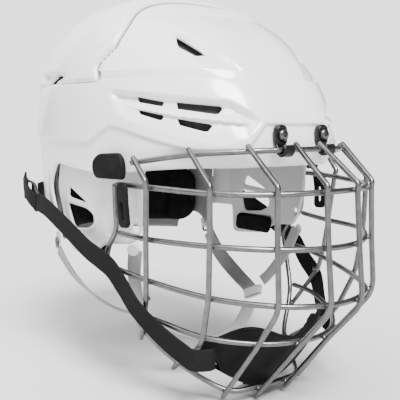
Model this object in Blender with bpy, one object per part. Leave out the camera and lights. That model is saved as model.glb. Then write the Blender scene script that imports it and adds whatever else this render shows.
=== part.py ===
"""Ice hockey helmet with a wire face cage, as an assembly of separate solids.

+Z is up, the face looks along -Y, and the wearer's right hand is at -X.
The origin is the middle of the head opening, level with the cage's brow bar.
Sizes below are millimetres; make_mesh and place_curve turn them into metres.
"""

import math

import bmesh
import bpy
from mathutils import Vector

MM = 0.001
GAP = 0.3

# Shell: half width, front and rear reach and crown height of its outer surface.
HALF_WIDTH = 106.0
FRONT_REACH = 144.5
REAR_REACH = 147.5
CROWN_HEIGHT = 117.5
ROUNDNESS = 2.12
FRONT_SQUARENESS = 0.028
WIDTH_PROFILE = (2.9, 2.85)
FRONT_PROFILE = (1.6, 1.95)
REAR_PROFILE = (2.1, 2.36)
SHELL_THICKNESS = 2.6
CROWN_STEP_LOW = 49.5
CROWN_STEP_HIGH = 56.0
CROWN_INSET = 3.0
REAR_PROUD = 1.6
REAR_STEP_HEIGHT = 6.0
SEAM_OVERLAP = 11.0
SHELL_LOW = -63.0

# Levels of the helmet: top of the side band, rear end of the front shell's arms.
SIDE_TOP = 48.0
ARM_END = 64.0

# Recess in the brow that holds the front clips.
RECESS_ANGLE = 24.0
RECESS_DEPTH = 1.8

# Side vents of the front shell: front-end and rear-end angle in degrees, and height.
SIDE_VENTS = [(50.0, 41.0, 35.0), (36.0, 23.0, 31.0), (49.5, 41.0, 25.0), (35.5, 26.0, 17.5)]
VENT_DROP = 3.5
VENT_HEIGHT = 5.5
CROWN_VENT_LENGTH = 24.0

# Liners and pads: depth of the outer face below the shell's outer surface.
LINER_DEPTH = 9.0
LINER_THICKNESS = 9.0
PAD_CLEARANCE = 1.4
PAD_THICKNESS = 8.0
EAR_GUARD_DEPTH = 9.5
EAR_GUARD_THICKNESS = 2.5

# Cage: wire radius, and the hinge line through the brow bar at the front clips.
WIRE_RADIUS = 2.0
WIRE_STEP = WIRE_RADIUS + 0.2
BEND_RADIUS = 9.0
HINGE_Y = -150.0
HINGE_Z = 0.0
CLIP_X = 20.5
CLIP_WIDTH = 10.0
CLIP_OUTER = WIRE_RADIUS + 2.8

WEBBING_THICKNESS = 1.6
CAGE_STRAP_WIDTH = 16.0
CHIN_STRAP_WIDTH = 13.0
REAR_STRAP_HEIGHT = -43.0
REAR_STRAP_STANDOFF = 2.6


# ---------------------------------------------------------------- basics

def clear_scene():
    for old in list(bpy.data.objects):
        bpy.data.objects.remove(old)


def make_material(name, colour, roughness, metallic=0.0):
    material = bpy.data.materials.new(name)
    material.use_nodes = True
    shader = material.node_tree.nodes["Principled BSDF"]
    shader.inputs["Base Color"].default_value = (*colour, 1.0)
    shader.inputs["Roughness"].default_value = roughness
    shader.inputs["Metallic"].default_value = metallic
    material.diffuse_color = (*colour, 1.0)
    return material


def add_object(name, data, material, parent):
    data.materials.append(material)
    obj = bpy.data.objects.new(name, data)
    bpy.context.scene.collection.objects.link(obj)
    if parent is not None:
        obj.parent = parent
        obj.location = -parent.location
    return obj


def make_mesh(name, points, faces, material, parent=None, smooth=True):
    """A mesh object from points in millimetres, its faces turned to point out."""
    mesh = bpy.data.meshes.new(name)
    mesh.from_pydata([Vector(p) * MM for p in points], [], faces)
    work = bmesh.new()
    work.from_mesh(mesh)
    bmesh.ops.remove_doubles(work, verts=work.verts, dist=1e-6)
    bmesh.ops.recalc_face_normals(work, faces=work.faces)
    work.to_mesh(mesh)
    work.free()
    if smooth:
        mesh.shade_smooth()
        mesh.set_sharp_from_angle(angle=math.radians(35))
    return add_object(name, mesh, material, parent)


def make_empty(name, location):
    empty = bpy.data.objects.new(name, None)
    empty.location = Vector(location) * MM
    bpy.context.scene.collection.objects.link(empty)
    return empty


def use_boolean(obj, cutter, operation):
    modifier = obj.modifiers.new(cutter.name, "BOOLEAN")
    modifier.operation = operation
    modifier.object = cutter
    modifier.solver = "EXACT"
    cutter.hide_render = True
    cutter.display_type = "WIRE"


def side_prism(name, outline, x_low, x_high):
    """A guide solid: an outline in the Y-Z plane, extruded along X."""
    count = len(outline)
    points = [(x, y, z) for x in (x_low, x_high) for y, z in outline]
    faces = [tuple(range(count)), tuple(range(2 * count - 1, count - 1, -1))]
    for i in range(count):
        j = (i + 1) % count
        faces.append((i, j, j + count, i + count))
    return make_mesh(name, points, faces, GUIDE, smooth=False)


def box_points(centre, size, forward, normal):
    """Eight corners of a box whose length runs along forward and thickness along normal."""
    along = Vector(forward).normalized()
    across = Vector(normal).cross(along).normalized()
    out = along.cross(across).normalized()
    corners = []
    for a, b, c in ((-1, -1, -1), (1, -1, -1), (1, 1, -1), (-1, 1, -1),
                    (-1, -1, 1), (1, -1, 1), (1, 1, 1), (-1, 1, 1)):
        offset = along * a * size[0] + across * b * size[1] + out * c * size[2]
        corners.append(Vector(centre) + offset * 0.5)
    return corners


BOX_FACES = ((0, 3, 2, 1), (4, 5, 6, 7), (0, 1, 5, 4), (1, 2, 6, 5), (2, 3, 7, 6), (3, 0, 4, 7))


def make_box(name, centre, size, forward, normal, material, parent=None, bevel=0.0):
    corners = box_points(centre, size, forward, normal)
    box = make_mesh(name, corners, BOX_FACES, material, parent, smooth=False)
    if bevel:
        rounded = box.modifiers.new("edges", "BEVEL")
        rounded.width = bevel * MM
        rounded.segments = 1
    return box


# ---------------------------------------------------------------- helmet surface

def profile(height, power, root):
    share = min(max(height / CROWN_HEIGHT, 0.0), 1.0)
    return (1.0 - share ** power) ** (1.0 / root)


def surface_point(angle, height, offset):
    """A point on the helmet's outer surface, moved out by offset.

    angle is 0 at the front and grows towards the wearer's right. height runs up
    to CROWN_HEIGHT; below zero the wall is nearly upright and tucks in a little.
    """
    tuck = -0.0011 * height * height if height < 0.0 else 0.0
    shrink = 1.0 + offset / 120.0
    half_width = HALF_WIDTH * profile(height, *WIDTH_PROFILE) * shrink + tuck
    front = FRONT_REACH * profile(height, *FRONT_PROFILE) * shrink + tuck
    rear = REAR_REACH * profile(height, *REAR_PROFILE) * shrink + tuck
    c, s = math.cos(angle), math.sin(angle)
    square = math.exp(-((abs(math.degrees(math.atan2(s, c))) - 20.0) / 13.0) ** 2)
    reach = front * (1.0 + FRONT_SQUARENESS * square) if c > 0.0 else rear
    radius = (abs(c) ** ROUNDNESS + abs(s) ** ROUNDNESS) ** (-1.0 / ROUNDNESS)
    z = height * shrink if height > 0.0 else height
    return Vector((-half_width * radius * s, -reach * radius * c, z))


def dome(name, outer, inner, low, angles, rows, material, parent=None):
    """A closed cap between two offset surfaces; outer and inner give offset by height.

    rows holds the heights of its rings above low, below the crown.
    """
    heights = [low] + list(rows)
    points = []
    for offset in (outer, inner):
        for height in heights:
            for k in range(angles):
                points.append(surface_point(2 * math.pi * k / angles, height, offset(height)))
        points.append(surface_point(0.0, CROWN_HEIGHT, offset(CROWN_HEIGHT)))
    layer = len(heights) * angles + 1
    faces = []
    for side in range(2):
        base = side * layer
        for row in range(len(heights) - 1):
            for k in range(angles):
                a = base + row * angles + k
                b = base + row * angles + (k + 1) % angles
                faces.append((a, b, b + angles, a + angles))
        last = base + (len(heights) - 1) * angles
        for k in range(angles):
            faces.append((last + k, last + (k + 1) % angles, base + layer - 1))
    for k in range(angles):
        j = (k + 1) % angles
        faces.append((k, j, layer + j, layer + k))
    return make_mesh(name, points, faces, material, parent)


def ring_heights(low, count, breaks=()):
    """Heights between low and the crown, closer together towards the crown, with the breaks among them."""
    spread = [low + (CROWN_HEIGHT - low) * (1.0 - (1.0 - i / count) ** 1.9) for i in range(1, count)]
    kept = [h for h in spread if all(abs(h - b) > 3.5 for b in breaks)]
    return sorted(kept + list(breaks))


def crown_offset(height):
    """The front shell steps in above the side band."""
    if height <= CROWN_STEP_LOW:
        return 0.0
    share = min((height - CROWN_STEP_LOW) / (CROWN_STEP_HIGH - CROWN_STEP_LOW), 1.0)
    return -CROWN_INSET * share


def rear_offset(height):
    """The rear shell stands proud above the side band, where it laps the front shell."""
    share = (height - SIDE_TOP + REAR_STEP_HEIGHT) / REAR_STEP_HEIGHT
    return REAR_PROUD * min(max(share, 0.0), 1.0)


# Outlines in the Y-Z plane. The seam is the rear shell's front edge above the side band.
SEAM = [(-22.0, 135.0), (-29.0, 111.0), (-41.0, 90.0), (-43.0, 74.0), (-33.0, 60.0), (-36.0, SIDE_TOP)]
FRONT_LIP = [(-160.0, -12.0), (-100.0, -14.0), (-84.0, -15.0), (-62.0, -18.0), (-38.0, -19.0)]
EAR_EDGE = [(0.0, -16.0), (24.0, -14.0), (34.0, -20.0), (44.0, -34.0), (40.0, -50.0), (37.0, -62.0)]


def front_outline():
    """The front shell: brow, crown with a lap under the rear shell, side bands and ear edge."""
    corner, band = SEAM[-1][0] - GAP, SIDE_TOP - GAP / 2
    lap = [(y + SEAM_OVERLAP, z) for y, z in SEAM[:-1]]
    lap += [(lap[-1][0], CROWN_STEP_HIGH), (corner, CROWN_STEP_HIGH), (corner, band)]
    arm = [(ARM_END, EAR_EDGE[-1][1]), (ARM_END, band)]
    return FRONT_LIP + EAR_EDGE + arm + lap[::-1] + [(-160.0, 135.0)]


def rear_outline():
    """The rear shell: everything behind the seam and above or behind the side bands."""
    edge, band, low = ARM_END + GAP, SIDE_TOP + GAP / 2, EAR_EDGE[-1][1]
    return SEAM[:-1] + [(SEAM[-1][0], band), (edge, band), (edge, low), (160.0, low), (160.0, 135.0)]


def add_shells():
    skirt = [SHELL_LOW * 0.75, SHELL_LOW * 0.5, SHELL_LOW * 0.25, 0.0]
    rows = skirt + ring_heights(0.0, 13, (CROWN_STEP_LOW, CROWN_STEP_HIGH))
    front = dome("front_shell", crown_offset, lambda h: crown_offset(h) - SHELL_THICKNESS,
                 SHELL_LOW, 48, rows, GLOSS_WHITE)
    use_boolean(front, side_prism("front_region", front_outline(), -140, 140), "INTERSECT")
    for side in (-1, 1):
        for number, (start, end, height) in enumerate(SIDE_VENTS):
            a = surface_point(math.radians(start), height, 0.0)
            b = surface_point(math.radians(end), height - VENT_DROP, 0.0)
            middle = (a + b) / 2
            along = b - a
            outward = Vector((along.y, -along.x, 0.0))
            centre = Vector((middle.x * -side, middle.y, middle.z))
            slot = make_box(f"side_vent_{number}_{side}", centre, (along.length, VENT_HEIGHT, 30.0),
                            Vector((along.x * -side, along.y, along.z)),
                            Vector((outward.x * -side, outward.y, 0.0)), GUIDE)
            use_boolean(front, slot, "DIFFERENCE")
        slot = make_box(f"crown_vent_{side}", (side * 52.0, -86.5, 73.0),
                        (CROWN_VENT_LENGTH, VENT_HEIGHT, 16.0), (-0.42 * side, -0.76, -0.49),
                        (0.5 * side, -0.5, 0.72), GUIDE)
        use_boolean(front, slot, "DIFFERENCE")
    recess = patch("brow_recess", -RECESS_ANGLE, RECESS_ANGLE, -0.4, 18.7, RECESS_DEPTH, -14.0, GUIDE,
                   steps=8, rows=1, narrow=8.0)
    use_boolean(front, recess, "DIFFERENCE")
    rows = skirt + ring_heights(0.0, 13, (SIDE_TOP - REAR_STEP_HEIGHT, SIDE_TOP))
    rear = dome("rear_shell", rear_offset, lambda h: rear_offset(h) - SHELL_THICKNESS,
                SHELL_LOW, 48, rows, GLOSS_WHITE, REAR)
    use_boolean(rear, side_prism("rear_region", rear_outline(), -140, 140), "INTERSECT")


def add_liners():
    low_face = 2.0
    inner = LINER_DEPTH + LINER_THICKNESS
    rows = ring_heights(low_face, 9)
    front = dome("front_liner", lambda h: -LINER_DEPTH, lambda h: -inner, low_face, 32, rows, GREY_FOAM)
    seam = [(y - 6.0, z) for y, z in SEAM[:-1]] + [(-42.0, -10.0)]
    front_box = [(-160.0, -10.0), (-160.0, 135.0)] + seam
    use_boolean(front, side_prism("front_liner_region", front_box, -140, 140), "INTERSECT")
    rear = dome("rear_liner", lambda h: -LINER_DEPTH, lambda h: -inner, low_face, 32, rows, GREY_FOAM, REAR)
    seam = [(y - 5.4, z) for y, z in SEAM[:-1]] + [(-41.4, -10.0)]
    rear_box = seam + [(160.0, -10.0), (160.0, 135.0)]
    use_boolean(rear, side_prism("rear_liner_region", rear_box, -140, 140), "INTERSECT")


def patch(name, start, end, low, high, depth, thickness, material, parent=None, steps=8, rows=3, narrow=0.0):
    """A curved plate that follows the helmet between two angles and two heights.

    narrow takes that many degrees off each end at the top.
    """
    points = []
    for layer in (depth, depth + thickness):
        for row in range(rows + 1):
            height = low + (high - low) * row / rows
            for k in range(steps + 1):
                trim = narrow * row / rows
                angle = math.radians(start + trim + (end - start - 2 * trim) * k / steps)
                points.append(surface_point(angle, height, -layer))
    wide = steps + 1
    layer = wide * (rows + 1)
    faces = []
    for side in range(2):
        for row in range(rows):
            for k in range(steps):
                a = side * layer + row * wide + k
                faces.append((a, a + 1, a + 1 + wide, a + wide))
    for k in range(steps):
        faces.append((k, k + 1, layer + k + 1, layer + k))
        top = rows * wide + k
        faces.append((top, top + 1, layer + top + 1, layer + top))
    for row in range(rows):
        a = row * wide
        faces.append((a, a + wide, layer + a + wide, layer + a))
        b = a + steps
        faces.append((b, b + wide, layer + b + wide, layer + b))
    return make_mesh(name, points, faces, material, parent)


def add_pads():
    pad_depth = LINER_DEPTH + LINER_THICKNESS + PAD_CLEARANCE
    patch("forehead_pad", -36, 36, 4, 34, pad_depth, PAD_THICKNESS, BLACK_FOAM, steps=10)
    patch("temple_pad_right", 46, 68, 4, 34, pad_depth, PAD_THICKNESS, BLACK_FOAM, steps=4)
    patch("temple_pad_left", -68, -46, 4, 34, pad_depth, PAD_THICKNESS, BLACK_FOAM, steps=4)
    patch("rear_pad", 146, 214, 6, 44, pad_depth, PAD_THICKNESS, BLACK_FOAM, REAR, steps=8)
    patch("occipital_frame", 116, 244, -86, -6, 12, 3, WHITE_PLASTIC, REAR, steps=16, rows=4)
    patch("occipital_pad", 124, 236, -78, -26, 15 + GAP, 9, BLACK_FOAM, REAR, steps=14, rows=3)
    crown_pads = (("crown_pad_front", -46.0, 4.0, None), ("crown_pad_rear", 12.0, 1.2, REAR))
    for name, low, clearance, parent in crown_pads:
        points = []
        for depth in (pad_depth + clearance, pad_depth + clearance + PAD_THICKNESS):
            for row in range(4):
                y = low + 34.0 * row / 3
                for k in range(5):
                    x = -26.0 + 52.0 * k / 4
                    points.append((x, y, surface_height(x, y) - depth))
        faces = []
        for layer in (0, 20):
            for row in range(3):
                for k in range(4):
                    a = layer + row * 5 + k
                    faces.append((a, a + 1, a + 6, a + 5))
        rim = [0, 1, 2, 3, 4, 9, 14, 19, 18, 17, 16, 15, 10, 5]
        for i, a in enumerate(rim):
            b = rim[(i + 1) % len(rim)]
            faces.append((a, b, b + 20, a + 20))
        make_mesh(name, points, faces, BLACK_FOAM, parent)


def surface_height(x, y):
    """Height of the outer surface over a point of the plan, by bisection."""
    low, high = 0.0, CROWN_HEIGHT
    for _ in range(40):
        middle = (low + high) / 2
        half_width = HALF_WIDTH * profile(middle, *WIDTH_PROFILE)
        reach = (FRONT_REACH * profile(middle, *FRONT_PROFILE) if y < 0.0
                 else REAR_REACH * profile(middle, *REAR_PROFILE))
        inside = (abs(x) / max(half_width, 1e-6)) ** ROUNDNESS + (abs(y) / max(reach, 1e-6)) ** ROUNDNESS
        if inside < 1.0:
            low = middle
        else:
            high = middle
    return low


# Ear guard: outline and its two openings, in the Y-Z plane.
EAR_OUTLINE = [(-80, -4), (28, -4), (33, -18), (40, -33), (36, -50), (31, -66), (27, -86), (-12, -83),
               (-28, -73), (-58, -70), (-66, -60), (-72, -38), (-71, -20)]
EAR_TRIANGLE = [(16, -31), (19, -40), (-12, -43)]
EAR_WINDOW = [(23, -45), (-9, -47), (-18, -51), (-18, -58), (-8, -63), (15, -65)]


def add_ear_guards():
    for side, name in ((-1, "right"), (1, "left")):
        sign = -side
        guard = patch(f"ear_guard_{name}", 34 * sign, 112 * sign, -90, -3, EAR_GUARD_DEPTH,
                      EAR_GUARD_THICKNESS, WHITE_PLASTIC, steps=12, rows=4)
        low, high = (20, 140) if side > 0 else (-140, -20)
        use_boolean(guard, side_prism(f"ear_outline_{name}", EAR_OUTLINE, low, high), "INTERSECT")
        use_boolean(guard, side_prism(f"ear_triangle_{name}", EAR_TRIANGLE, low, high), "DIFFERENCE")
        use_boolean(guard, side_prism(f"ear_window_{name}", EAR_WINDOW, low, high), "DIFFERENCE")
        patch(f"ear_pad_{name}", 78 * sign, 100 * sign, -82, -67,
              EAR_GUARD_DEPTH + EAR_GUARD_THICKNESS + GAP, 5, BLACK_FOAM, steps=5, rows=1)


# ---------------------------------------------------------------- cage

def crossing_normal(azimuth, tilt):
    a, t = math.radians(azimuth), math.radians(tilt)
    return Vector((math.sin(a) * math.cos(t), -math.cos(a) * math.cos(t), -math.sin(t)))


# Where the uprights cross the brow bar, the rings and the rim, for x > 0: place and tilt
# of the cage's outward normal there. Uprights run outside these points and bars inside.
UPRIGHT_AZIMUTH = {"a": 76.0, "b": 61.0, "c": 37.0, "d": 12.0}
UPRIGHTS = {
    "a": [(95.5, -80.0, -7.5, -30), (94.5, -92.5, -21.5, -10), (93.5, -92.0, -25.7, 0),
          (91.2, -88.0, -62.5, 0), (88.5, -84.0, -93.0, 0), (86.5, -80.5, -106.0, 15),
          (77.5, -61.0, -137.0, 25)],
    "b": [(74.5, -114.0, -1.5, -45), (76.2, -138.5, -23.0, -15), (76.2, -138.5, -27.4, 0),
          (75.3, -137.3, -62.5, 0), (72.2, -132.0, -99.0, 10), (66.3, -117.0, -131.0, 35),
          (58.0, -75.0, -161.0, 43)],
    "c": [(46.3, -141.0, 0.8, -45), (45.5, -168.0, -23.5, -15), (45.5, -168.0, -27.7, 0),
          (45.8, -168.8, -63.6, 0), (46.0, -169.5, -101.5, 20), (40.6, -143.3, -134.4, 45),
          (38.0, -108.0, -177.5, 36)],
    "d": [(12.0, -150.8, 1.6, -50), (14.8, -181.0, -23.0, -15), (14.8, -181.0, -27.0, 0),
          (15.0, -183.4, -64.0, 0), (15.0, -185.3, -102.5, 20), (13.8, -157.0, -134.8, 45),
          (14.0, -118.5, -178.0, 42)],
}


def bar_point(upright, index):
    x, y, z, tilt = UPRIGHTS[upright][index]
    return Vector((x, y, z)) - crossing_normal(UPRIGHT_AZIMUTH[upright], tilt) * WIRE_STEP


def wire_point(upright, index):
    x, y, z, tilt = UPRIGHTS[upright][index]
    return Vector((x, y, z)) + crossing_normal(UPRIGHT_AZIMUTH[upright], tilt) * WIRE_STEP


def smooth_path(keys, per_span):
    """Points of a Catmull-Rom curve through the keys."""
    path = []
    for i in range(len(keys) - 1):
        before = keys[i - 1] if i > 0 else keys[i] * 2 - keys[i + 1]
        after = keys[i + 2] if i + 2 < len(keys) else keys[i + 1] * 2 - keys[i]
        a, b = keys[i], keys[i + 1]
        for k in range(per_span):
            t = k / per_span
            path.append(0.5 * (2 * a + (b - before) * t + (2 * before - 5 * a + 4 * b - after) * t * t
                               + (3 * a - before - 3 * b + after) * t * t * t))
    path.append(keys[-1])
    return path


def bent_path(keys, radius, steps=2):
    """Straight runs with a short arc at each key; the corner lies outside it, so the arc meets the key."""
    path = [keys[0]]
    for i in range(1, len(keys) - 1):
        before = keys[i - 1] - keys[i]
        after = keys[i + 1] - keys[i]
        turn = math.pi - before.angle(after)
        if turn < math.radians(6):
            path.append(keys[i])
            continue
        cut = min(radius, 0.45 * before.length, 0.45 * after.length)
        corner = keys[i] - (before.normalized() + after.normalized()) * cut / 4
        start = corner + before.normalized() * cut
        end = corner + after.normalized() * cut
        for k in range(steps + 1):
            t = k / steps
            path.append(start * (1 - t) ** 2 + corner * 2 * t * (1 - t) + end * t * t)
    path.append(keys[-1])
    return path


def mirrored(path):
    """The path for x > 0, led through the middle to its mirror image."""
    return [Vector((-p.x, p.y, p.z)) for p in reversed(path)] + path


def place_curve(name, path, radius, material, parent, resolution=2):
    curve = bpy.data.curves.new(name, "CURVE")
    curve.dimensions = "3D"
    curve.bevel_depth = radius * MM
    curve.bevel_resolution = resolution
    curve.use_fill_caps = True
    spline = curve.splines.new("POLY")
    spline.points.add(len(path) - 1)
    for point, place in zip(spline.points, path):
        point.co = (*(place * MM), 1.0)
    return add_object(name, curve, material, parent)


# The rim's side run, from upright "a" up to the end cap.
RIM_SIDE = [Vector(p) for p in ((81.5, -55.5, -121.5), (90.0, -41.5, -96.0), (92.5, -36.5, -83.0),
                                (94.0, -41.0, -73.0), (95.6, -53.5, -58.0), (96.5, -54.5, -40.0),
                                (96.8, -54.5, -24.5))]
BAR_ENDS = {
    "brow_bar": Vector((96.2, -75.6, -9.2)),
    "ring_upper": Vector((96.7, -57.0, -25.2)),
    "ring_middle": Vector((95.4, -55.7, -60.5)),
    "ring_lower": Vector((91.6, -44.6, -88.5)),
    "ring_chin": Vector((80.3, -60.4, -122.0)),
}


def add_cage():
    levels = (("brow_bar", 0), ("ring_upper", 2), ("ring_middle", 3), ("ring_lower", 4))
    for name, index in levels:
        half = [bar_point(u, index) for u in "dcba"] + [BAR_ENDS[name]]
        if name == "brow_bar":
            half = [Vector((CLIP_X + 7.0, HINGE_Y, HINGE_Z))] + half[1:]
            path = mirrored(smooth_path(half, 4))
        else:
            path = smooth_path(mirrored(half), 4)
        place_curve(name, path, WIRE_RADIUS, SATIN_STEEL, CAGE)
    half = [bar_point(u, 5) for u in "dcb"]
    half += [Vector((77.0, -86.0, -124.0)), BAR_ENDS["ring_chin"]]
    place_curve("ring_chin", smooth_path(mirrored(half), 4), WIRE_RADIUS, SATIN_STEEL, CAGE)
    half = [bar_point(u, 6) for u in "dcb"] + [bar_point("a", 6)] + RIM_SIDE
    place_curve("cage_rim", smooth_path(mirrored(half), 3), WIRE_RADIUS, SATIN_STEEL, CAGE)
    for letter in "abcd":
        keys = [wire_point(letter, i) for i in range(len(UPRIGHTS[letter]))]
        keys[0] += (keys[0] - keys[1]).normalized() * 2.5
        keys[-1] += (keys[-1] - keys[-2]).normalized() * 5.0
        for side, word in ((-1, "right"), (1, "left")):
            path = [Vector((p.x * side, p.y, p.z)) for p in bent_path(keys, BEND_RADIUS)]
            place_curve(f"upright_{letter}_{word}", path, WIRE_RADIUS, SATIN_STEEL, CAGE)


def loft(name, sections, material, parent=None, smooth=True):
    """A closed solid through rings of equal point counts, with flat ends."""
    count = len(sections[0])
    points = [p for section in sections for p in section]
    faces = [tuple(range(count)), tuple(range(len(points) - count, len(points)))]
    for row in range(len(sections) - 1):
        for k in range(count):
            j = (k + 1) % count
            a = row * count
            faces.append((a + k, a + j, a + count + j, a + count + k))
    return make_mesh(name, points, faces, material, parent, smooth)


def web(name, keys, width, material, parent, per_span=3, thickness=WEBBING_THICKNESS):
    """Flat webbing along keys of place and outward face."""
    places = smooth_path([Vector(k[0]) for k in keys], per_span)
    faces_out = smooth_path([Vector(k[1]).normalized() for k in keys], per_span)
    sections = []
    for i, place in enumerate(places):
        along = (places[min(i + 1, len(places) - 1)] - places[max(i - 1, 0)]).normalized()
        across = faces_out[i].cross(along).normalized() * width / 2
        out = along.cross(across).normalized() * thickness / 2
        sections.append([place - across - out, place + across - out,
                         place + across + out, place - across + out])
    return loft(name, sections, material, parent, smooth=False)


def both_sides(build):
    for side, word in ((-1, "right"), (1, "left")):
        build(side, word)


def add_end_caps():
    """Rubber caps that cover the bar ends over the temples, each with a strap hanging from it."""
    outline = [(-73.0, -21.5), (-74.5, -14.5), (-73.0, -7.0), (-68.5, -2.5), (-46.0, -3.5),
               (-40.5, -8.0), (-39.5, -15.0), (-43.0, -21.5)]
    middle_y, middle_z, lean = -51.0, -12.0, 0.24

    def build(side, word):
        sections = []
        for x, inset in ((98.2, 0.0), (101.4, 0.0), (103.0, 0.14)):
            ring = [(y + (middle_y - y) * inset, z + (middle_z - z) * inset) for y, z in outline]
            sections.append([Vector((side * (x + lean * (y + 63.0)), y, z)) for y, z in ring])
        loft(f"end_cap_{word}", sections, BLACK_RUBBER, CAGE)
        web(f"cap_strap_{word}", [((side * 100.4, -69.5, -23.5), (side, 0, 0)),
                                  ((side * 100.9, -71.5, -38.0), (side, 0, 0)),
                                  ((side * 100.0, -72.5, -55.0), (side, 0, 0))],
            12.0, BLACK_RUBBER, CAGE, per_span=2, thickness=3.0)
    both_sides(build)


def screw(name, place, outward, radius, length, material, parent=None):
    """A pan-head screw: a shank with a domed head, its axis along outward."""
    outward = Vector(outward).normalized()
    side = outward.orthogonal().normalized()
    up = outward.cross(side)
    sections = []
    for along, size in ((-length, 0.45), (0.0, 0.45), (0.0, 1.0), (1.2, 1.0), (2.1, 0.62)):
        ring = []
        for k in range(10):
            angle = 2 * math.pi * k / 10
            ring.append(Vector(place) + outward * along
                        + (side * math.cos(angle) + up * math.sin(angle)) * radius * size)
        sections.append(ring)
    return loft(name, sections, material, parent)


def recess_floor(x, height):
    """Y of the brow recess floor at a place across the front."""
    best = min((abs(abs(surface_point(math.radians(a), height, 0.0).x) - abs(x)), a) for a in range(40))
    return surface_point(math.radians(best[1]), height, -RECESS_DEPTH).y


def add_front_clips():
    """J-shaped clips: a screwed pad above, and a hook that wraps round the brow bar."""
    inner, outer = WIRE_RADIUS + 0.8, CLIP_OUTER
    angles = [math.radians(60.0 - 290.0 * k / 8) for k in range(9)]
    ring = [(HINGE_Y + inner * math.cos(a), HINGE_Z + inner * math.sin(a)) for a in angles]
    ring += [(HINGE_Y + outer * math.cos(a), HINGE_Z + outer * math.sin(a)) for a in reversed(angles)]
    back = recess_floor(CLIP_X - CLIP_WIDTH / 2, 9.0) - GAP
    front = back - 5.2
    pad = [(HINGE_Y + 2.4, 2.4), (HINGE_Y + 4.6, 0.5), (back, 4.0), (back, 14.5), (back - 1.5, 17.0),
           (front + 1.4, 15.5), (front, 14.2), (front, 5.0)]

    def build(side, word):
        x = side * CLIP_X
        clip = side_prism(f"front_clip_{word}", ring, x - CLIP_WIDTH / 2, x + CLIP_WIDTH / 2)
        clip.data.materials[0] = BLACK_PLASTIC
        body = side_prism(f"clip_pad_{word}", pad, x - CLIP_WIDTH / 2, x + CLIP_WIDTH / 2)
        use_boolean(clip, body, "UNION")
        hole = loft(f"clip_hole_{word}",
                    round_sections((x, 0, 10.0), (0, 1, 0), 2.6, front - 5, back + 5), GUIDE)
        use_boolean(clip, hole, "DIFFERENCE")
        screw(f"front_clip_screw_{word}", (x, front - GAP - 0.2, 10.0), (0, -1, 0), 4.0, 4.6, BLACK_PLASTIC)
    both_sides(build)


def round_sections(place, axis, radius, start, end, sides=12):
    """Two rings of a cylinder about an axis through a place."""
    axis = Vector(axis).normalized()
    side = axis.orthogonal().normalized()
    up = axis.cross(side)
    return [[Vector(place) + axis * along + (side * math.cos(2 * math.pi * k / sides)
             + up * math.sin(2 * math.pi * k / sides)) * radius for k in range(sides)]
            for along in (start, end)]


# Chin cup: (reach from the cup's centre, height) down its middle and at its wing tips.
CUP_CENTRE_Y = -85.0
CUP_MIDDLE = [(59.5, -134.0), (59.0, -143.0), (48.5, -159.0), (35.0, -172.5), (18.0, -183.5),
              (0.0, -187.0)]
CUP_TIP = [(61.5, -138.0), (62.0, -142.5), (60.5, -147.0), (58.0, -151.0), (54.0, -154.0),
           (50.0, -155.0)]
CUP_LOBE = 10.0
CUP_HALF_ANGLE = 74.0
CUP_THICKNESS = 3.0
CUP_PAD_CLEARANCE = 1.2


def cup_sections(depth_out, depth_in, trim, rows):
    """Rings of the cup between two depths below its outer surface, from wing to wing."""
    sections = []
    for k in range(-6, 7):
        share = k / 6 * (1.0 - trim)
        turn = math.radians(CUP_HALF_ANGLE * share)
        ring = []
        for depth, order in ((depth_out, range(rows)), (depth_in, reversed(range(rows)))):
            for i in order:
                blend = share ** 4
                reach = CUP_MIDDLE[i][0] * (1 - blend) + CUP_TIP[i][0] * blend
                height = CUP_MIDDLE[i][1] * (1 - blend) + CUP_TIP[i][1] * blend
                height += CUP_LOBE * math.sin(math.pi * share) ** 2 * (1.0 - i / 5)
                lean = min(i / 4, 1.0) * (1 - blend)
                reach = max(reach - depth * (1 - 0.55 * lean), 4.0)
                height += depth * 0.85 * lean
                ring.append(Vector((reach * math.sin(turn), CUP_CENTRE_Y - reach * math.cos(turn), height)))
        sections.append(ring)
    return sections


def add_chin_cup():
    loft("chin_cup", cup_sections(0.0, CUP_THICKNESS, 0.0, 6), BLACK_RUBBER, CAGE)
    pad_depth = CUP_THICKNESS + CUP_PAD_CLEARANCE
    loft("chin_cup_pad", cup_sections(pad_depth, pad_depth + 5.5, 0.08, 5), BLACK_FOAM, CAGE)


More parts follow.
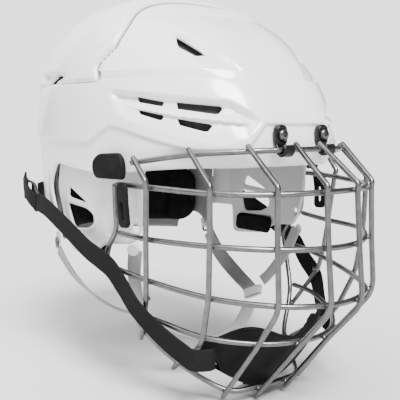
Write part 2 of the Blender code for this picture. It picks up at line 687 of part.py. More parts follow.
def add_straps():
    def build(side, word):
        def at(x, y, z):
            return (side * x, y, z)
        cage_keys = [(at(99.5, 62.0, -48.5), at(1, 0.25, 0)), (at(102.0, 42.0, -51.5), at(1, 0.15, 0)),
                     (at(102.5, 5.0, -65.0), at(1, 0, 0)), (at(101.5, -20.0, -76.0), at(1, 0, 0)),
                     (at(99.5, -36.0, -82.0), at(1, -0.1, 0)), (at(97.0, -48.0, -88.0), at(1, -0.1, 0)),
                     (at(94.5, -60.0, -100.0), at(1, -0.15, -0.1)),
                     (at(93.0, -75.0, -113.5), at(1, -0.15, -0.15)),
                     (at(83.0, -90.0, -130.5), at(1, -0.3, -0.15)),
                     (at(74.0, -103.0, -142.0), at(1, -0.4, -0.1)),
                     (at(71.5, -113.0, -145.5), at(0.85, -0.5, 0)),
                     (at(63.5, -121.0, -145.0), at(0.6, -0.8, 0)),
                     (at(58.0, -120.5, -145.0), at(0.3, -0.95, 0))]
        web(f"cage_strap_{word}", cage_keys, CAGE_STRAP_WIDTH, BLACK_WEBBING, CAGE)
        make_box(f"strap_buckle_{word}", at(98.0, 79.0, -43.0), (30.0, 20.0, 7.0), at(0.12, -0.83, -0.4),
                 at(1, 0.3, 0), BLACK_PLASTIC, CAGE, bevel=1.5)
        front_keys = [(at(83.5, -60.5, -73.0), at(1, -0.3, 0)),
                      (at(80.0, -53.0, -92.0), at(1, -0.3, 0)),
                      (at(71.0, -42.0, -113.0), at(1, -0.3, -0.2)),
                      (at(66.0, -36.5, -121.0), at(1, -0.2, -0.4))]
        web(f"chin_strap_front_{word}", front_keys, CHIN_STRAP_WIDTH, GREY_WEBBING, None)
        rear_keys = [(at(83.0, 60.0, -90.0), at(1, 0.3, 0)), (at(80.5, 40.0, -108.0), at(1, 0.2, -0.4)),
                     (at(76.0, 10.0, -123.0), at(0.7, 0, -1)),
                     (at(69.5, -14.0, -130.0), at(0.4, 0, -1)),
                     (at(62.5, -26.0, -132.0), at(0.3, 0, -1))]
        web(f"chin_strap_rear_{word}", rear_keys, CHIN_STRAP_WIDTH, GREY_WEBBING, None)
        make_box(f"strap_loop_{word}", at(58.5, -33.0, -130.5), (9.0, 17.0, 5.0), at(-0.6, -0.6, -0.6),
                 at(0.7, 0, -0.7), WHITE_PLASTIC, None, bevel=1.0)
        screw(f"chin_snap_{word}", at(85.3, -61.0, -73.5), at(1, -0.35, 0), 5.5, 0.6, WHITE_PLASTIC)
        make_box(f"strap_hook_{word}", at(82.8, 63.0, -81.8), (13.0, 10.0, 3.5), at(0, -0.3, -1),
                 at(1, 0.4, 0), WHITE_PLASTIC, None, bevel=0.8)
    both_sides(build)
    half = [((50.0, -38.5, -138.5), (0.5, 0, -1)), ((30.0, -48.0, -150.5), (0.3, 0, -1))]
    flip = [((-p[0], p[1], p[2]), (-n[0], n[1], n[2])) for p, n in half]
    keys = half + [((0.0, -56.0, -156.5), (0, 0, -1))] + flip[::-1]
    web("chin_strap_under", keys, CHIN_STRAP_WIDTH, GREY_WEBBING, None)
    rear_keys = []
    for degrees in range(131, 230, 14):
        place = surface_point(math.radians(degrees), REAR_STRAP_HEIGHT, REAR_STRAP_STANDOFF)
        outward = Vector((place.x, place.y * 0.7, 0.0))
        rear_keys.append((place, outward))
    web("rear_strap", rear_keys, CAGE_STRAP_WIDTH, BLACK_WEBBING, REAR, per_span=2)


def main():
    add_shells()
    add_liners()
    add_pads()
    add_ear_guards()
    add_cage()
    add_end_caps()
    add_front_clips()
    add_chin_cup()
    add_straps()


clear_scene()
GUIDE = make_material("guide", (0.5, 0.5, 0.5), 0.5)
GLOSS_WHITE = make_material("gloss_white", (0.93, 0.93, 0.93), 0.12)
WHITE_PLASTIC = make_material("white_plastic", (0.86, 0.86, 0.85), 0.35)
BLACK_PLASTIC = make_material("black_plastic", (0.02, 0.02, 0.02), 0.35)
BLACK_RUBBER = make_material("black_rubber", (0.025, 0.025, 0.025), 0.6)
BLACK_FOAM = make_material("black_foam", (0.03, 0.03, 0.03), 0.9)
GREY_FOAM = make_material("grey_foam", (0.35, 0.35, 0.36), 0.8)
SATIN_STEEL = make_material("satin_steel", (0.62, 0.62, 0.62), 0.32, 1.0)
BLACK_WEBBING = make_material("black_webbing", (0.03, 0.03, 0.032), 0.85)
GREY_WEBBING = make_material("grey_webbing", (0.72, 0.72, 0.72), 0.8)
CAGE = make_empty("cage_hinge", (0.0, HINGE_Y, HINGE_Z))
REAR = make_empty("shell_slide", (0.0, REAR_REACH, 0.0))
main()
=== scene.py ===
"""Ice hockey helmet with a wire face cage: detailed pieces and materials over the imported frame.

Lengths below are millimetres unless a name ends in _M; the mesh helpers turn them into metres.
+Z is up, the face looks along -Y and the wearer's right hand is at -X.
"""

import math

import bpy
import numpy as np
from mathutils import Matrix, Vector


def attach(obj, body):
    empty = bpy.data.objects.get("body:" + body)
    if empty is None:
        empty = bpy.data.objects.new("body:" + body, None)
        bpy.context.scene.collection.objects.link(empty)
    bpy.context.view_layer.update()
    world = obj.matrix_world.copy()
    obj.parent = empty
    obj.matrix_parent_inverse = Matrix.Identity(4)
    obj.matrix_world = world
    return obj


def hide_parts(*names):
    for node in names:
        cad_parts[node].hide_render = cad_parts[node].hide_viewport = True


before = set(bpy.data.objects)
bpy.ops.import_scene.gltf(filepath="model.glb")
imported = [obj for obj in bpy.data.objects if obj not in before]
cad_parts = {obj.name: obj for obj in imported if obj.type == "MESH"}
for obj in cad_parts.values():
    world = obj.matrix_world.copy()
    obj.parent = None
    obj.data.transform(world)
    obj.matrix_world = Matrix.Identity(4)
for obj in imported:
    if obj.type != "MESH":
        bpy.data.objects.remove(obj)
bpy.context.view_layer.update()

MM = 0.001
SIDES = ((-1, "right"), (1, "left"))

# Shell surface, as in the CAD.
HALF_WIDTH = 106.0
FRONT_REACH = 144.5
REAR_REACH = 147.5
CROWN_HEIGHT = 117.5
ROUNDNESS = 2.12
FRONT_SQUARENESS = 0.028
WIDTH_PROFILE = (2.9, 2.85)
FRONT_PROFILE = (1.6, 1.95)
REAR_PROFILE = (2.1, 2.36)
SHELL_THICKNESS = 2.6
ARM_END = 64.0
SEAM = [(-22.0, 135.0), (-29.0, 111.0), (-41.0, 90.0), (-43.0, 74.0), (-33.0, 60.0), (-36.0, 48.0)]
SEAM_LAP = 11.0
FRONT_LIP = [(-160.0, -12.0), (-100.0, -14.0), (-84.0, -15.0), (-62.0, -18.0), (-38.0, -19.0)]
EAR_EDGE = [(0.0, -16.0), (24.0, -14.0), (34.0, -20.0), (44.0, -34.0), (40.0, -50.0), (37.0, -62.0)]
GIRTH_PER_DEGREE = 2.1

WIRE_RADIUS = 2.0
WIRE_STEP = 2.2
BEND_RADIUS = 9.0
HINGE_Y = -150.0
HINGE_Z = 0.0
CLIP_X = 20.5
UPRIGHT_AZIMUTH = {"a": 76.0, "b": 61.0, "c": 37.0, "d": 12.0}
UPRIGHTS = {
    "a": [(95.5, -80.0, -7.5, -30), (94.5, -92.5, -21.5, -10), (93.5, -92.0, -25.7, 0),
          (91.2, -88.0, -62.5, 0), (88.5, -84.0, -93.0, 0), (86.5, -80.5, -106.0, 15),
          (77.5, -61.0, -137.0, 25)],
    "b": [(74.5, -114.0, -1.5, -45), (76.2, -138.5, -23.0, -15), (76.2, -138.5, -27.4, 0),
          (75.3, -137.3, -62.5, 0), (72.2, -132.0, -99.0, 10), (66.3, -117.0, -131.0, 35),
          (58.0, -75.0, -161.0, 43)],
    "c": [(46.3, -141.0, 0.8, -45), (45.5, -168.0, -23.5, -15), (45.5, -168.0, -27.7, 0),
          (45.8, -168.8, -63.6, 0), (46.0, -169.5, -101.5, 20), (40.6, -143.3, -134.4, 45),
          (38.0, -108.0, -177.5, 36)],
    "d": [(12.0, -150.8, 1.6, -50), (14.8, -181.0, -23.0, -15), (14.8, -181.0, -27.0, 0),
          (15.0, -183.4, -64.0, 0), (15.0, -185.3, -102.5, 20), (13.8, -157.0, -134.8, 45),
          (14.0, -118.5, -178.0, 42)],
}
RIM_SIDE = [Vector(p) for p in ((81.5, -55.5, -121.5), (90.0, -41.5, -96.0), (92.5, -36.5, -83.0),
                                (94.0, -41.0, -73.0), (95.6, -53.5, -58.0), (96.5, -54.5, -40.0),
                                (96.8, -54.5, -24.5))]
BAR_ENDS = {"brow_bar": Vector((96.2, -75.6, -9.2)), "ring_upper": Vector((96.7, -57.0, -25.2)),
            "ring_middle": Vector((95.4, -55.7, -60.5)), "ring_lower": Vector((91.6, -44.6, -88.5)),
            "ring_chin": Vector((80.3, -60.4, -122.0))}

PAD_DEPTH = 19.4
EAR_GUARD_DEPTH = 9.5
CAGE_STRAP_WIDTH = 16.0
CHIN_STRAP_WIDTH = 13.0
REAR_STRAP_HEIGHT = -43.0
REAR_STRAP_STANDOFF = 2.6

# Chin cup: (reach from the cup's centre, height) down its middle and at its wing tips.
CUP_CENTRE_Y = -85.0
CUP_MIDDLE = [(59.5, -134.0), (59.0, -143.0), (48.5, -159.0), (35.0, -172.5), (18.0, -183.5), (0.0, -187.0)]
CUP_TIP = [(61.5, -138.0), (62.0, -142.5), (60.5, -147.0), (58.0, -151.0), (54.0, -154.0), (50.0, -155.0)]
CUP_LOBE = 10.0
CUP_HALF_ANGLE = 74.0
CUP_HALF_ARC = 78.0


# ---------------------------------------------------------------- materials

class Nodes:
    """Short hands for one material's node tree; coordinates are object space, scaled to millimetres."""

    def __init__(self, name, roughness, metallic=0.0, specular=0.5, coat=0.0, coat_roughness=0.05, sheen=0.0):
        self.material = bpy.data.materials.new(name)
        self.material.use_nodes = True
        self.tree = self.material.node_tree
        self.shader = self.tree.nodes["Principled BSDF"]
        values = {"Roughness": roughness, "Metallic": metallic, "Specular IOR Level": specular,
                  "Coat Weight": coat, "Coat Roughness": coat_roughness, "Sheen Weight": sheen}
        for socket, value in values.items():
            self.shader.inputs[socket].default_value = value
        self.place = self.add("ShaderNodeTexCoord").outputs["Object"]

    def add(self, kind, **settings):
        node = self.tree.nodes.new(kind)
        for key, value in settings.items():
            setattr(node, key, value)
        return node

    def link(self, source, target):
        self.tree.links.new(source, target)

    def noise(self, size_mm, detail=3.0, stretch=(1, 1, 1)):
        """Noise whose lumps are about size_mm across, drawn out by stretch."""
        mapping = self.add("ShaderNodeMapping")
        mapping.inputs["Scale"].default_value = [1000.0 / size_mm / s for s in stretch]
        self.link(self.place, mapping.inputs["Vector"])
        noise = self.add("ShaderNodeTexNoise")
        noise.inputs["Scale"].default_value = 1.0
        noise.inputs["Detail"].default_value = detail
        self.link(mapping.outputs["Vector"], noise.inputs["Vector"])
        return noise.outputs["Fac"]

    def ramp(self, factor, low, high, start=0.3, end=0.7):
        ramp = self.add("ShaderNodeValToRGB")
        ramp.color_ramp.elements[0].position = start
        ramp.color_ramp.elements[0].color = (*low, 1.0)
        ramp.color_ramp.elements[1].position = end
        ramp.color_ramp.elements[1].color = (*high, 1.0)
        self.link(factor, ramp.inputs["Fac"])
        return ramp.outputs["Color"]

    def spread(self, factor, low, high):
        mapped = self.add("ShaderNodeMapRange")
        mapped.inputs["To Min"].default_value = low
        mapped.inputs["To Max"].default_value = high
        self.link(factor, mapped.inputs["Value"])
        return mapped.outputs["Result"]

    def math(self, operation, first, second=None):
        node = self.add("ShaderNodeMath", operation=operation)
        for socket, value in zip(node.inputs, (first, second)):
            if value is None:
                continue
            if isinstance(value, (int, float)):
                socket.default_value = value
            else:
                self.link(value, socket)
        return node.outputs["Value"]

    def colour(self, output):
        self.link(output, self.shader.inputs["Base Color"])

    def roughness(self, factor, low, high):
        self.link(self.spread(factor, low, high), self.shader.inputs["Roughness"])

    def bump(self, height, depth_mm, strength=1.0):
        bump = self.add("ShaderNodeBump")
        bump.inputs["Strength"].default_value = strength
        bump.inputs["Distance"].default_value = depth_mm * MM
        self.link(height, bump.inputs["Height"])
        self.link(bump.outputs["Normal"], self.shader.inputs["Normal"])


def gloss_white():
    n = Nodes("gloss_white_shell", 0.2, specular=0.5, coat=0.35, coat_roughness=0.06)
    n.colour(n.ramp(n.noise(60, 2.0), (0.80, 0.80, 0.805), (0.83, 0.83, 0.83)))
    n.roughness(n.noise(9, 4.0), 0.16, 0.26)
    n.bump(n.noise(14, 2.0), 0.06)
    return n.material


def satin_white(name="satin_white_plastic", low=0.66, high=0.72):
    n = Nodes(name, 0.42)
    n.colour(n.ramp(n.noise(30, 2.0), (low, low, low), (high, high, high)))
    n.roughness(n.noise(4, 4.0), 0.36, 0.5)
    n.bump(n.noise(0.6, 2.0), 0.05)
    return n.material


def black_plastic():
    n = Nodes("satin_black_plastic", 0.35, specular=0.3)
    n.colour(n.ramp(n.noise(8, 3.0), (0.003, 0.003, 0.003), (0.007, 0.007, 0.0072)))
    n.roughness(n.noise(3, 4.0), 0.28, 0.46)
    n.bump(n.noise(0.7, 2.0), 0.05)
    return n.material


def black_rubber():
    n = Nodes("matte_black_rubber", 0.66, specular=0.08)
    n.colour(n.ramp(n.noise(12, 3.0), (0.005, 0.005, 0.005), (0.009, 0.009, 0.0092)))
    n.roughness(n.noise(5, 4.0), 0.5, 0.68)
    n.bump(n.noise(0.5, 3.0), 0.08)
    return n.material


def foam(name, low, high):
    """Closed-cell foam: pin-size cells over soft lumps."""
    n = Nodes(name, 0.85, specular=0.3)
    cells = n.add("ShaderNodeTexVoronoi")
    mapping = n.add("ShaderNodeMapping")
    mapping.inputs["Scale"].default_value = (900, 900, 900)
    n.link(n.place, mapping.inputs["Vector"])
    n.link(mapping.outputs["Vector"], cells.inputs["Vector"])
    cells.inputs["Scale"].default_value = 1.0
    n.colour(n.ramp(n.noise(7, 4.0), (low, low, low), (high, high, high * 1.02)))
    n.roughness(n.noise(4, 3.0), 0.75, 0.95)
    n.bump(cells.outputs["Distance"], 0.25, 0.6)
    return n.material


def pad_cloth():
    """Brushed knit over foam: fine loops and soft shade."""
    n = Nodes("black_pad_cloth", 0.9, specular=0.12)
    loops = n.add("ShaderNodeTexVoronoi", feature="SMOOTH_F1")
    mapping = n.add("ShaderNodeMapping")
    mapping.inputs["Scale"].default_value = (1400, 1400, 1000)
    n.link(n.place, mapping.inputs["Vector"])
    n.link(mapping.outputs["Vector"], loops.inputs["Vector"])
    loops.inputs["Scale"].default_value = 1.0
    n.colour(n.ramp(n.noise(9, 4.0), (0.004, 0.004, 0.0042), (0.009, 0.009, 0.0093)))
    n.roughness(n.noise(5, 3.0), 0.8, 0.97)
    n.bump(loops.outputs["Distance"], 0.3, 0.7)
    return n.material


def satin_steel():
    """Plated wire with faint draw marks."""
    n = Nodes("satin_steel_wire", 0.3, metallic=1.0)
    n.colour(n.ramp(n.noise(5, 4.0), (0.13, 0.13, 0.13), (0.19, 0.19, 0.188)))
    n.roughness(n.noise(1.6, 4.0), 0.24, 0.4)
    n.bump(n.noise(0.7, 3.0), 0.03)
    return n.material


def dark_steel():
    """Blackened screws."""
    n = Nodes("blackened_steel", 0.3, metallic=1.0)
    n.colour(n.ramp(n.noise(3, 4.0), (0.09, 0.09, 0.09), (0.16, 0.16, 0.16)))
    n.roughness(n.noise(1.2, 4.0), 0.22, 0.4)
    n.bump(n.noise(0.5, 3.0), 0.02)
    return n.material


def webbing(name, low, high, pitch_mm):
    """Woven strap: picks across and warp ends along, from UVs in millimetres."""
    n = Nodes(name, 0.8, specular=0.12)
    uv = n.add("ShaderNodeTexCoord").outputs["UV"]
    split = n.add("ShaderNodeSeparateXYZ")
    n.link(uv, split.inputs["Vector"])
    turn = 2 * math.pi / pitch_mm
    along = n.math("SINE", n.math("MULTIPLY", split.outputs["X"], turn))
    across = n.math("SINE", n.math("MULTIPLY", split.outputs["Y"], turn * 0.8))
    weave = n.math("ADD", n.math("MULTIPLY", n.math("MULTIPLY", along, across), 0.35), 0.5)
    worn = n.math("ADD", n.math("MULTIPLY", weave, 0.6), n.math("MULTIPLY", n.noise(6, 4.0), 0.4))
    n.colour(n.ramp(worn, (low, low, low), (high, high, high)))
    n.roughness(n.noise(3, 3.0), 0.7, 0.9)
    n.bump(weave, 0.22, 0.8)
    return n.material


def floor_paper():
    n = Nodes("floor_paper", 0.8, specular=0.2)
    n.colour(n.ramp(n.noise(400, 2.0), (0.6, 0.6, 0.6), (0.62, 0.62, 0.62)))
    n.roughness(n.noise(80, 2.0), 0.75, 0.85)
    return n.material


GLOSS_WHITE = gloss_white()
SATIN_WHITE = satin_white()
# Grey plastic: white plastic given a grey colour as painted shade, for the shadowed occipital plate and the
# shadowed gap at the seam.
PAINTED_SHADE_PLASTIC = satin_white("satin_plastic_painted_shade", 0.2, 0.24)
BLACK_PLASTIC = black_plastic()
BLACK_RUBBER = black_rubber()
# Liner foam: grey foam darkened almost to black, as painted shade for the shadowed inside of the helmet.
GREY_FOAM_PAINTED_SHADE = foam("grey_liner_foam_painted_shade", 0.035, 0.05)
PAD_CLOTH = pad_cloth()
STEEL = satin_steel()
STEEL_DARK = dark_steel()
BLACK_WEBBING = webbing("black_strap_webbing", 0.004, 0.009, 1.3)
GREY_WEBBING = webbing("grey_strap_webbing", 0.27, 0.4, 1.1)


# ---------------------------------------------------------------- mesh helpers

def place_piece(obj, material, body, stands_for=()):
    """Gives a new object its material and body, and hides the CAD nodes that it stands for."""
    obj.data.materials.append(material)
    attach(obj, body)
    if stands_for:
        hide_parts(*stands_for)
    return obj


def new_mesh(name, points, faces, sharp=45.0, uvs=None):
    """points in millimetres; uvs, if given, hold one pair for each point."""
    mesh = bpy.data.meshes.new(name)
    points = np.asarray(points, float) * MM
    mesh.from_pydata(points.tolist(), [], [tuple(int(i) for i in f) for f in faces])
    if uvs is not None:
        layer = mesh.uv_layers.new(name="UVMap")
        corner = np.zeros(len(mesh.loops), np.int32)
        mesh.loops.foreach_get("vertex_index", corner)
        layer.data.foreach_set("uv", np.asarray(uvs, np.float32)[corner].ravel())
    mesh.validate()
    mesh.calc_loop_triangles()
    triangles = np.zeros(len(mesh.loop_triangles) * 3, np.int32)
    mesh.loop_triangles.foreach_get("vertices", triangles)
    a, b, c = points[triangles.reshape(-1, 3)].transpose(1, 0, 2)
    if np.einsum("ij,ij->i", a, np.cross(b, c)).sum() < 0.0:
        mesh.flip_normals()
    mesh.shade_smooth()
    mesh.set_sharp_from_angle(angle=math.radians(sharp))
    obj = bpy.data.objects.new(name, mesh)
    bpy.context.scene.collection.objects.link(obj)
    return obj


def smoothstep(x):
    x = np.clip(x, 0.0, 1.0)
    return x * x * (3.0 - 2.0 * x)


def unit(vectors):
    return vectors / np.maximum(np.linalg.norm(vectors, axis=-1, keepdims=True), 1e-9)


def catmull(keys, per_span, closed=False):
    """Points of a Catmull-Rom curve through the keys, as an array."""
    keys = [np.asarray(k, float) for k in keys]
    count = len(keys)
    path = []
    for i in range(count if closed else count - 1):
        if closed:
            p, a, b, q = (keys[(i + k) % count] for k in (-1, 0, 1, 2))
        else:
            a, b = keys[i], keys[i + 1]
            p = keys[i - 1] if i > 0 else 2 * a - b
            q = keys[i + 2] if i + 2 < count else 2 * b - a
        for k in range(per_span):
            t = k / per_span
            path.append(0.5 * (2 * a + (b - p) * t + (2 * p - 5 * a + 4 * b - q) * t * t
                               + (3 * a - p - 3 * b + q) * t ** 3))
    if not closed:
        path.append(keys[-1])
    return np.array(path)


def inside_distance(x, y, outline):
    """Distance from a closed outline in the plane, positive inside it."""
    outline = np.asarray(outline, float)
    best = np.full(x.shape, 1e9)
    inside = np.zeros(x.shape, bool)
    for i in range(len(outline)):
        (ax, ay), (bx, by) = outline[i], outline[(i + 1) % len(outline)]
        ex, ey = bx - ax, by - ay
        t = np.clip(((x - ax) * ex + (y - ay) * ey) / max(ex * ex + ey * ey, 1e-9), 0.0, 1.0)
        best = np.minimum(best, np.hypot(x - ax - t * ex, y - ay - t * ey))
        if ay != by:
            crosses = (ay > y) != (by > y)
            inside ^= crosses & (x < ax + (y - ay) * ex / ey)
    return np.where(inside, best, -best)


def clipped_grid(columns, rows, measure, closed=False):
    """A grid of quads cut along the line where measure is zero.

    columns and rows are the two parameters' values. Returns parameter pairs and faces;
    measure(u, v) is positive where the surface is kept.
    """
    u, v = np.meshgrid(columns, rows)
    field = measure(u, v)
    field = np.where(np.abs(field) < 1e-6, 1e-6, field)
    wide = len(columns)
    params = {}
    order = []

    def corner(index):
        if index not in params:
            params[index] = len(order)
            order.append((u.flat[index], v.flat[index]))
        return params[index]

    def crossing(a, b):
        key = (min(a, b), max(a, b))
        if key not in params:
            fa, fb = field.flat[key[0]], field.flat[key[1]]
            t = fa / (fa - fb)
            ua, ub = u.flat[key[0]], u.flat[key[1]]
            if abs(ub - ua) > math.pi:
                ub += 2 * math.pi if ub < ua else -2 * math.pi
            params[key] = len(order)
            order.append((ua + (ub - ua) * t, v.flat[key[0]] + (v.flat[key[1]] - v.flat[key[0]]) * t))
        return params[key]

    faces = []
    for row in range(len(rows) - 1):
        for k in range(wide if closed else wide - 1):
            j = (k + 1) % wide
            quad = (row * wide + k, row * wide + wide + k, row * wide + wide + j, row * wide + j)
            signs = [field.flat[i] > 0 for i in quad]
            if all(signs):
                faces.append([corner(i) for i in quad])
            elif any(signs):
                ring = []
                for i in range(4):
                    a, b = quad[i], quad[(i + 1) % 4]
                    if signs[i]:
                        ring.append(corner(a))
                    if signs[i] != signs[(i + 1) % 4]:
                        ring.append(crossing(a, b))
                faces.append(ring)
    return np.array(order), faces


def thicken(outer, inner, faces):
    """Closes an open sheet: the outer and inner points, and a rim round every open edge."""
    count = len(outer)
    closed = list(faces)
    directed = {}
    for face in faces:
        for i, a in enumerate(face):
            directed[(a, face[(i + 1) % len(face)])] = True
    for face in faces:
        closed.append([i + count for i in reversed(face)])
    for a, b in directed:
        if (b, a) not in directed:
            closed.append([b, a, a + count, b + count])
    return np.vstack([outer, inner]), closed


def rounded_edge(edge, radius):
    """How far a rounded edge falls away, at a distance in from the rim."""
    short = np.clip(radius - edge, 0.0, radius)
    return radius - np.sqrt(radius ** 2 - short ** 2)


def rounded_box(u, v, half_u, half_v, radius):
    """Distance inside a rounded rectangle about the origin."""
    a, b = np.abs(u) - half_u + radius, np.abs(v) - half_v + radius
    outside = np.hypot(np.clip(a, 0.0, None), np.clip(b, 0.0, None))
    return radius - outside - np.minimum(np.maximum(a, b), 0.0)


def sheet(name, columns, rows, measure, place, thickness, rounding=0.8, over=None, under=None, sharp=50.0):
    """A closed plate; place(u, v, offset) gives its points, and the rim is where measure is zero.

    over and under add relief to its outer and inner faces.
    """
    params, faces = clipped_grid(columns, rows, measure)
    u, v = params.T
    dip = rounded_edge(np.clip(measure(u, v), 0.0, None), rounding)
    top = (over(u, v) if over else 0.0) - dip
    low = (under(u, v) if under else 0.0) - thickness + dip
    points, closed = thicken(place(u, v, top), place(u, v, low), faces)
    return new_mesh(name, points, closed, sharp)


def flat_place(origin, forward, outward):
    """A place function for a flat sheet: u runs along forward."""
    along = unit(np.asarray(forward, float))
    across = unit(np.cross(outward, along))
    out = np.cross(along, across)
    origin = np.asarray(origin, float)
    return lambda u, v, off: (origin + u[:, None] * along + v[:, None] * across
                              + (off + 0.0 * u)[:, None] * out)


def steps(low, high, size):
    return np.linspace(low, high, max(int(round((high - low) / size)), 2) + 1)


def path_frames(path, closed=False):
    """Unit directions along a path, and two across it that turn as little as they can."""
    ends = np.roll(path, -1, axis=0) - np.roll(path, 1, axis=0) if closed else np.gradient(path, axis=0)
    along = unit(ends)
    side = np.zeros_like(path)
    side[0] = unit(np.cross(along[0], (0.31, 0.2, 0.93)))
    for i in range(1, len(path)):
        side[i] = unit(side[i - 1] - along[i] * (side[i - 1] @ along[i]))
    return along, side, np.cross(along, side)


def join_rings(rings, closed=False):
    """Points and faces of a skin through rings of equal point counts."""
    count, wide = len(rings), len(rings[0])
    faces = []
    for row in range(count if closed else count - 1):
        a, b = row * wide, (row + 1) % count * wide
        faces += [(a + k, a + (k + 1) % wide, b + (k + 1) % wide, b + k) for k in range(wide)]
    if not closed:
        faces += [tuple(range(wide)), tuple(range((count - 1) * wide, count * wide))]
    return np.concatenate(rings), faces


def tube(name, path, radius, sides=18, closed=False):
    """A round wire with domed ends."""
    path = np.asarray(path, float)
    sizes = np.full(len(path), radius)
    if not closed:
        dome = np.radians((75.0, 50.0, 25.0))
        first, last = unit(path[1] - path[0]), unit(path[-2] - path[-1])
        start = [path[0] + first * radius * (1.0 - math.sin(a)) for a in dome]
        end = [path[-1] + last * radius * (1.0 - math.sin(a)) for a in dome[::-1]]
        inner = path[1:-1]
        path = np.vstack([start, inner, end])
        taper = radius * np.cos(dome)
        sizes = np.concatenate([taper, np.full(len(inner), radius), taper[::-1]])
    _, side, up = path_frames(path, closed)
    turn = np.linspace(0.0, 2 * math.pi, sides + 1)[:-1]
    rings = [path[i] + sizes[i] * (np.cos(turn)[:, None] * side[i] + np.sin(turn)[:, None] * up[i])
             for i in range(len(path))]
    return new_mesh(name, *join_rings(rings, closed), sharp=60.0)


def ribbon(name, keys, width, thickness, per_span=12, closed=False):
    """Flat webbing through keys of place and outward face, with UVs in millimetres."""
    path = catmull([k[0] for k in keys], per_span, closed)
    outward = unit(catmull([k[1] for k in keys], per_span, closed))
    along, _, _ = path_frames(path, closed)
    across = unit(np.cross(outward, along))
    out = np.cross(along, across)
    half, t = width / 2, thickness / 2
    spread = np.linspace(-1.0, 1.0, 9) * (half - t)
    bead = 1.0 + 0.12 * (np.abs(spread) > half - 2.6 * t)
    section = [(a, t * b) for a, b in zip(spread, bead)]
    section += [(half - t + t * math.sin(q), t * math.cos(q)) for q in (0.8, 1.57, 2.34)]
    section += [(a, -t * b) for a, b in zip(spread[::-1], bead[::-1])]
    section += [(-half + t - t * math.sin(q), -t * math.cos(q)) for q in (0.8, 1.57, 2.34)]
    section = np.array(section)
    rings = [path[i] + section[:, :1] * across[i] + section[:, 1:] * out[i] for i in range(len(path))]
    length = np.concatenate([[0.0], np.cumsum(np.linalg.norm(np.diff(path, axis=0), axis=1))])
    uvs = [(run, a) for run in length for a in section[:, 0]]
    return new_mesh(name, *join_rings(rings, closed), sharp=50.0, uvs=uvs)


def lathe(name, outline, place, axis, sides=40, squash=1.0, hexed=()):
    """A turned piece: outline holds (radius, distance along the axis); rings in hexed are six-sided."""
    axis = unit(np.asarray(axis, float))
    side = unit(np.cross(axis, (0.1, 0.2, 0.97)))
    up = np.cross(axis, side) * squash
    turn = np.linspace(0.0, 2 * math.pi, sides + 1)[:-1]
    corner = np.cos(math.pi / 6) / np.cos((turn % (math.pi / 3)) - math.pi / 6)
    rings = []
    for i, (radius, run) in enumerate(outline):
        size = radius * (corner if i in hexed else np.ones(sides))
        rings.append(np.asarray(place) + axis * run
                     + size[:, None] * (np.cos(turn)[:, None] * side + np.sin(turn)[:, None] * up))
    return new_mesh(name, *join_rings(rings), sharp=35.0)


# ---------------------------------------------------------------- helmet surface

def profile(height, power, root):
    share = np.clip(height / CROWN_HEIGHT, 0.0, 1.0)
    return (1.0 - share ** power) ** (1.0 / root)


def surface(angle, height, offset=0.0):
    """Points of the helmet's outer surface, moved out by offset; angle 0 is the front."""
    tuck = np.where(height < 0.0, -0.0011 * height * height, 0.0)
    shrink = 1.0 + offset / 120.0
    half_width = HALF_WIDTH * profile(height, *WIDTH_PROFILE) * shrink + tuck
    front = FRONT_REACH * profile(height, *FRONT_PROFILE) * shrink + tuck
    rear = REAR_REACH * profile(height, *REAR_PROFILE) * shrink + tuck
    c, s = np.cos(angle), np.sin(angle)
    square = np.exp(-((np.abs(np.degrees(np.arctan2(s, c))) - 20.0) / 13.0) ** 2)
    reach = np.where(c > 0.0, front * (1.0 + FRONT_SQUARENESS * square), rear)
    radius = (np.abs(c) ** ROUNDNESS + np.abs(s) ** ROUNDNESS) ** (-1.0 / ROUNDNESS)
    z = np.where(height > 0.0, height * shrink, height)
    return np.stack([-half_width * radius * s, -reach * radius * c, z], axis=-1)


def surface_normal(angle, height):
    d_angle = surface(angle + 2e-3, height) - surface(angle - 2e-3, height)
    low = np.minimum(height, CROWN_HEIGHT - 0.4) - 0.3
    d_height = surface(angle, low + 0.6) - surface(angle, low)
    return unit(np.cross(d_height, d_angle))


def girth(places):
    """Distance round the helmet from the middle of the brow, the same on both sides."""
    return GIRTH_PER_DEGREE * np.degrees(np.arctan2(np.abs(places[..., 0]), -places[..., 1]))


def crown_rows(start, count):
    """Heights from start to the crown, evenly spread over the surface and closing at the top."""
    power, root = WIDTH_PROFILE
    reach = np.linspace(profile(start, power, root), 0.0, count)
    return CROWN_HEIGHT * (1.0 - reach ** root) ** (1.0 / power)


def shell_rows():
    low = np.arange(-63.0, -20.0, 1.8)
    middle = np.arange(-20.0, 62.0, 0.85)
    return np.concatenate([low, middle, crown_rows(62.0, 100)])


# Vent slots. Side ones have corners as (girth, height), the crown's are places on the right
# side of the shell, and the rear one's are (y, z).
SIDE_SLOTS = [
    [(110.0, 37.6), (88.9, 34.4), (88.0, 32.8), (89.6, 30.8), (108.2, 33.8)],
    [(79.0, 34.0), (50.3, 31.4), (49.0, 30.0), (51.6, 26.0), (53.6, 25.6), (78.2, 29.0)],
    [(107.4, 27.8), (88.4, 24.2), (87.4, 22.4), (89.0, 20.2), (105.6, 24.8)],
    [(78.0, 21.8), (57.4, 18.2), (56.0, 16.8), (58.6, 13.0), (60.6, 12.6), (76.4, 17.2)],
]
TOP_SLOT = [(-57.0, -74.5, 83.0), (-60.5, -82.0, 73.0), (-54.5, -95.0, 66.2), (-47.5, -98.5, 67.2)]
REAR_SLOT = [(16.0, 55.6), (31.0, 55.6), (41.0, 49.4), (27.0, 49.4)]
CREASE_START, CREASE_END = (-61.0, -55.0, 92.0), (-31.5, -110.0, 59.0)
CREASE_ALONG = unit(np.array(CREASE_END) - np.array(CREASE_START))
CREASE_LENGTH = float(np.linalg.norm(np.array(CREASE_END) - np.array(CREASE_START)))
CREASE_OUT = unit(np.array((-0.5, -0.5, 0.72)))
CREASE_DOWN = unit(np.cross(CREASE_OUT, CREASE_ALONG))


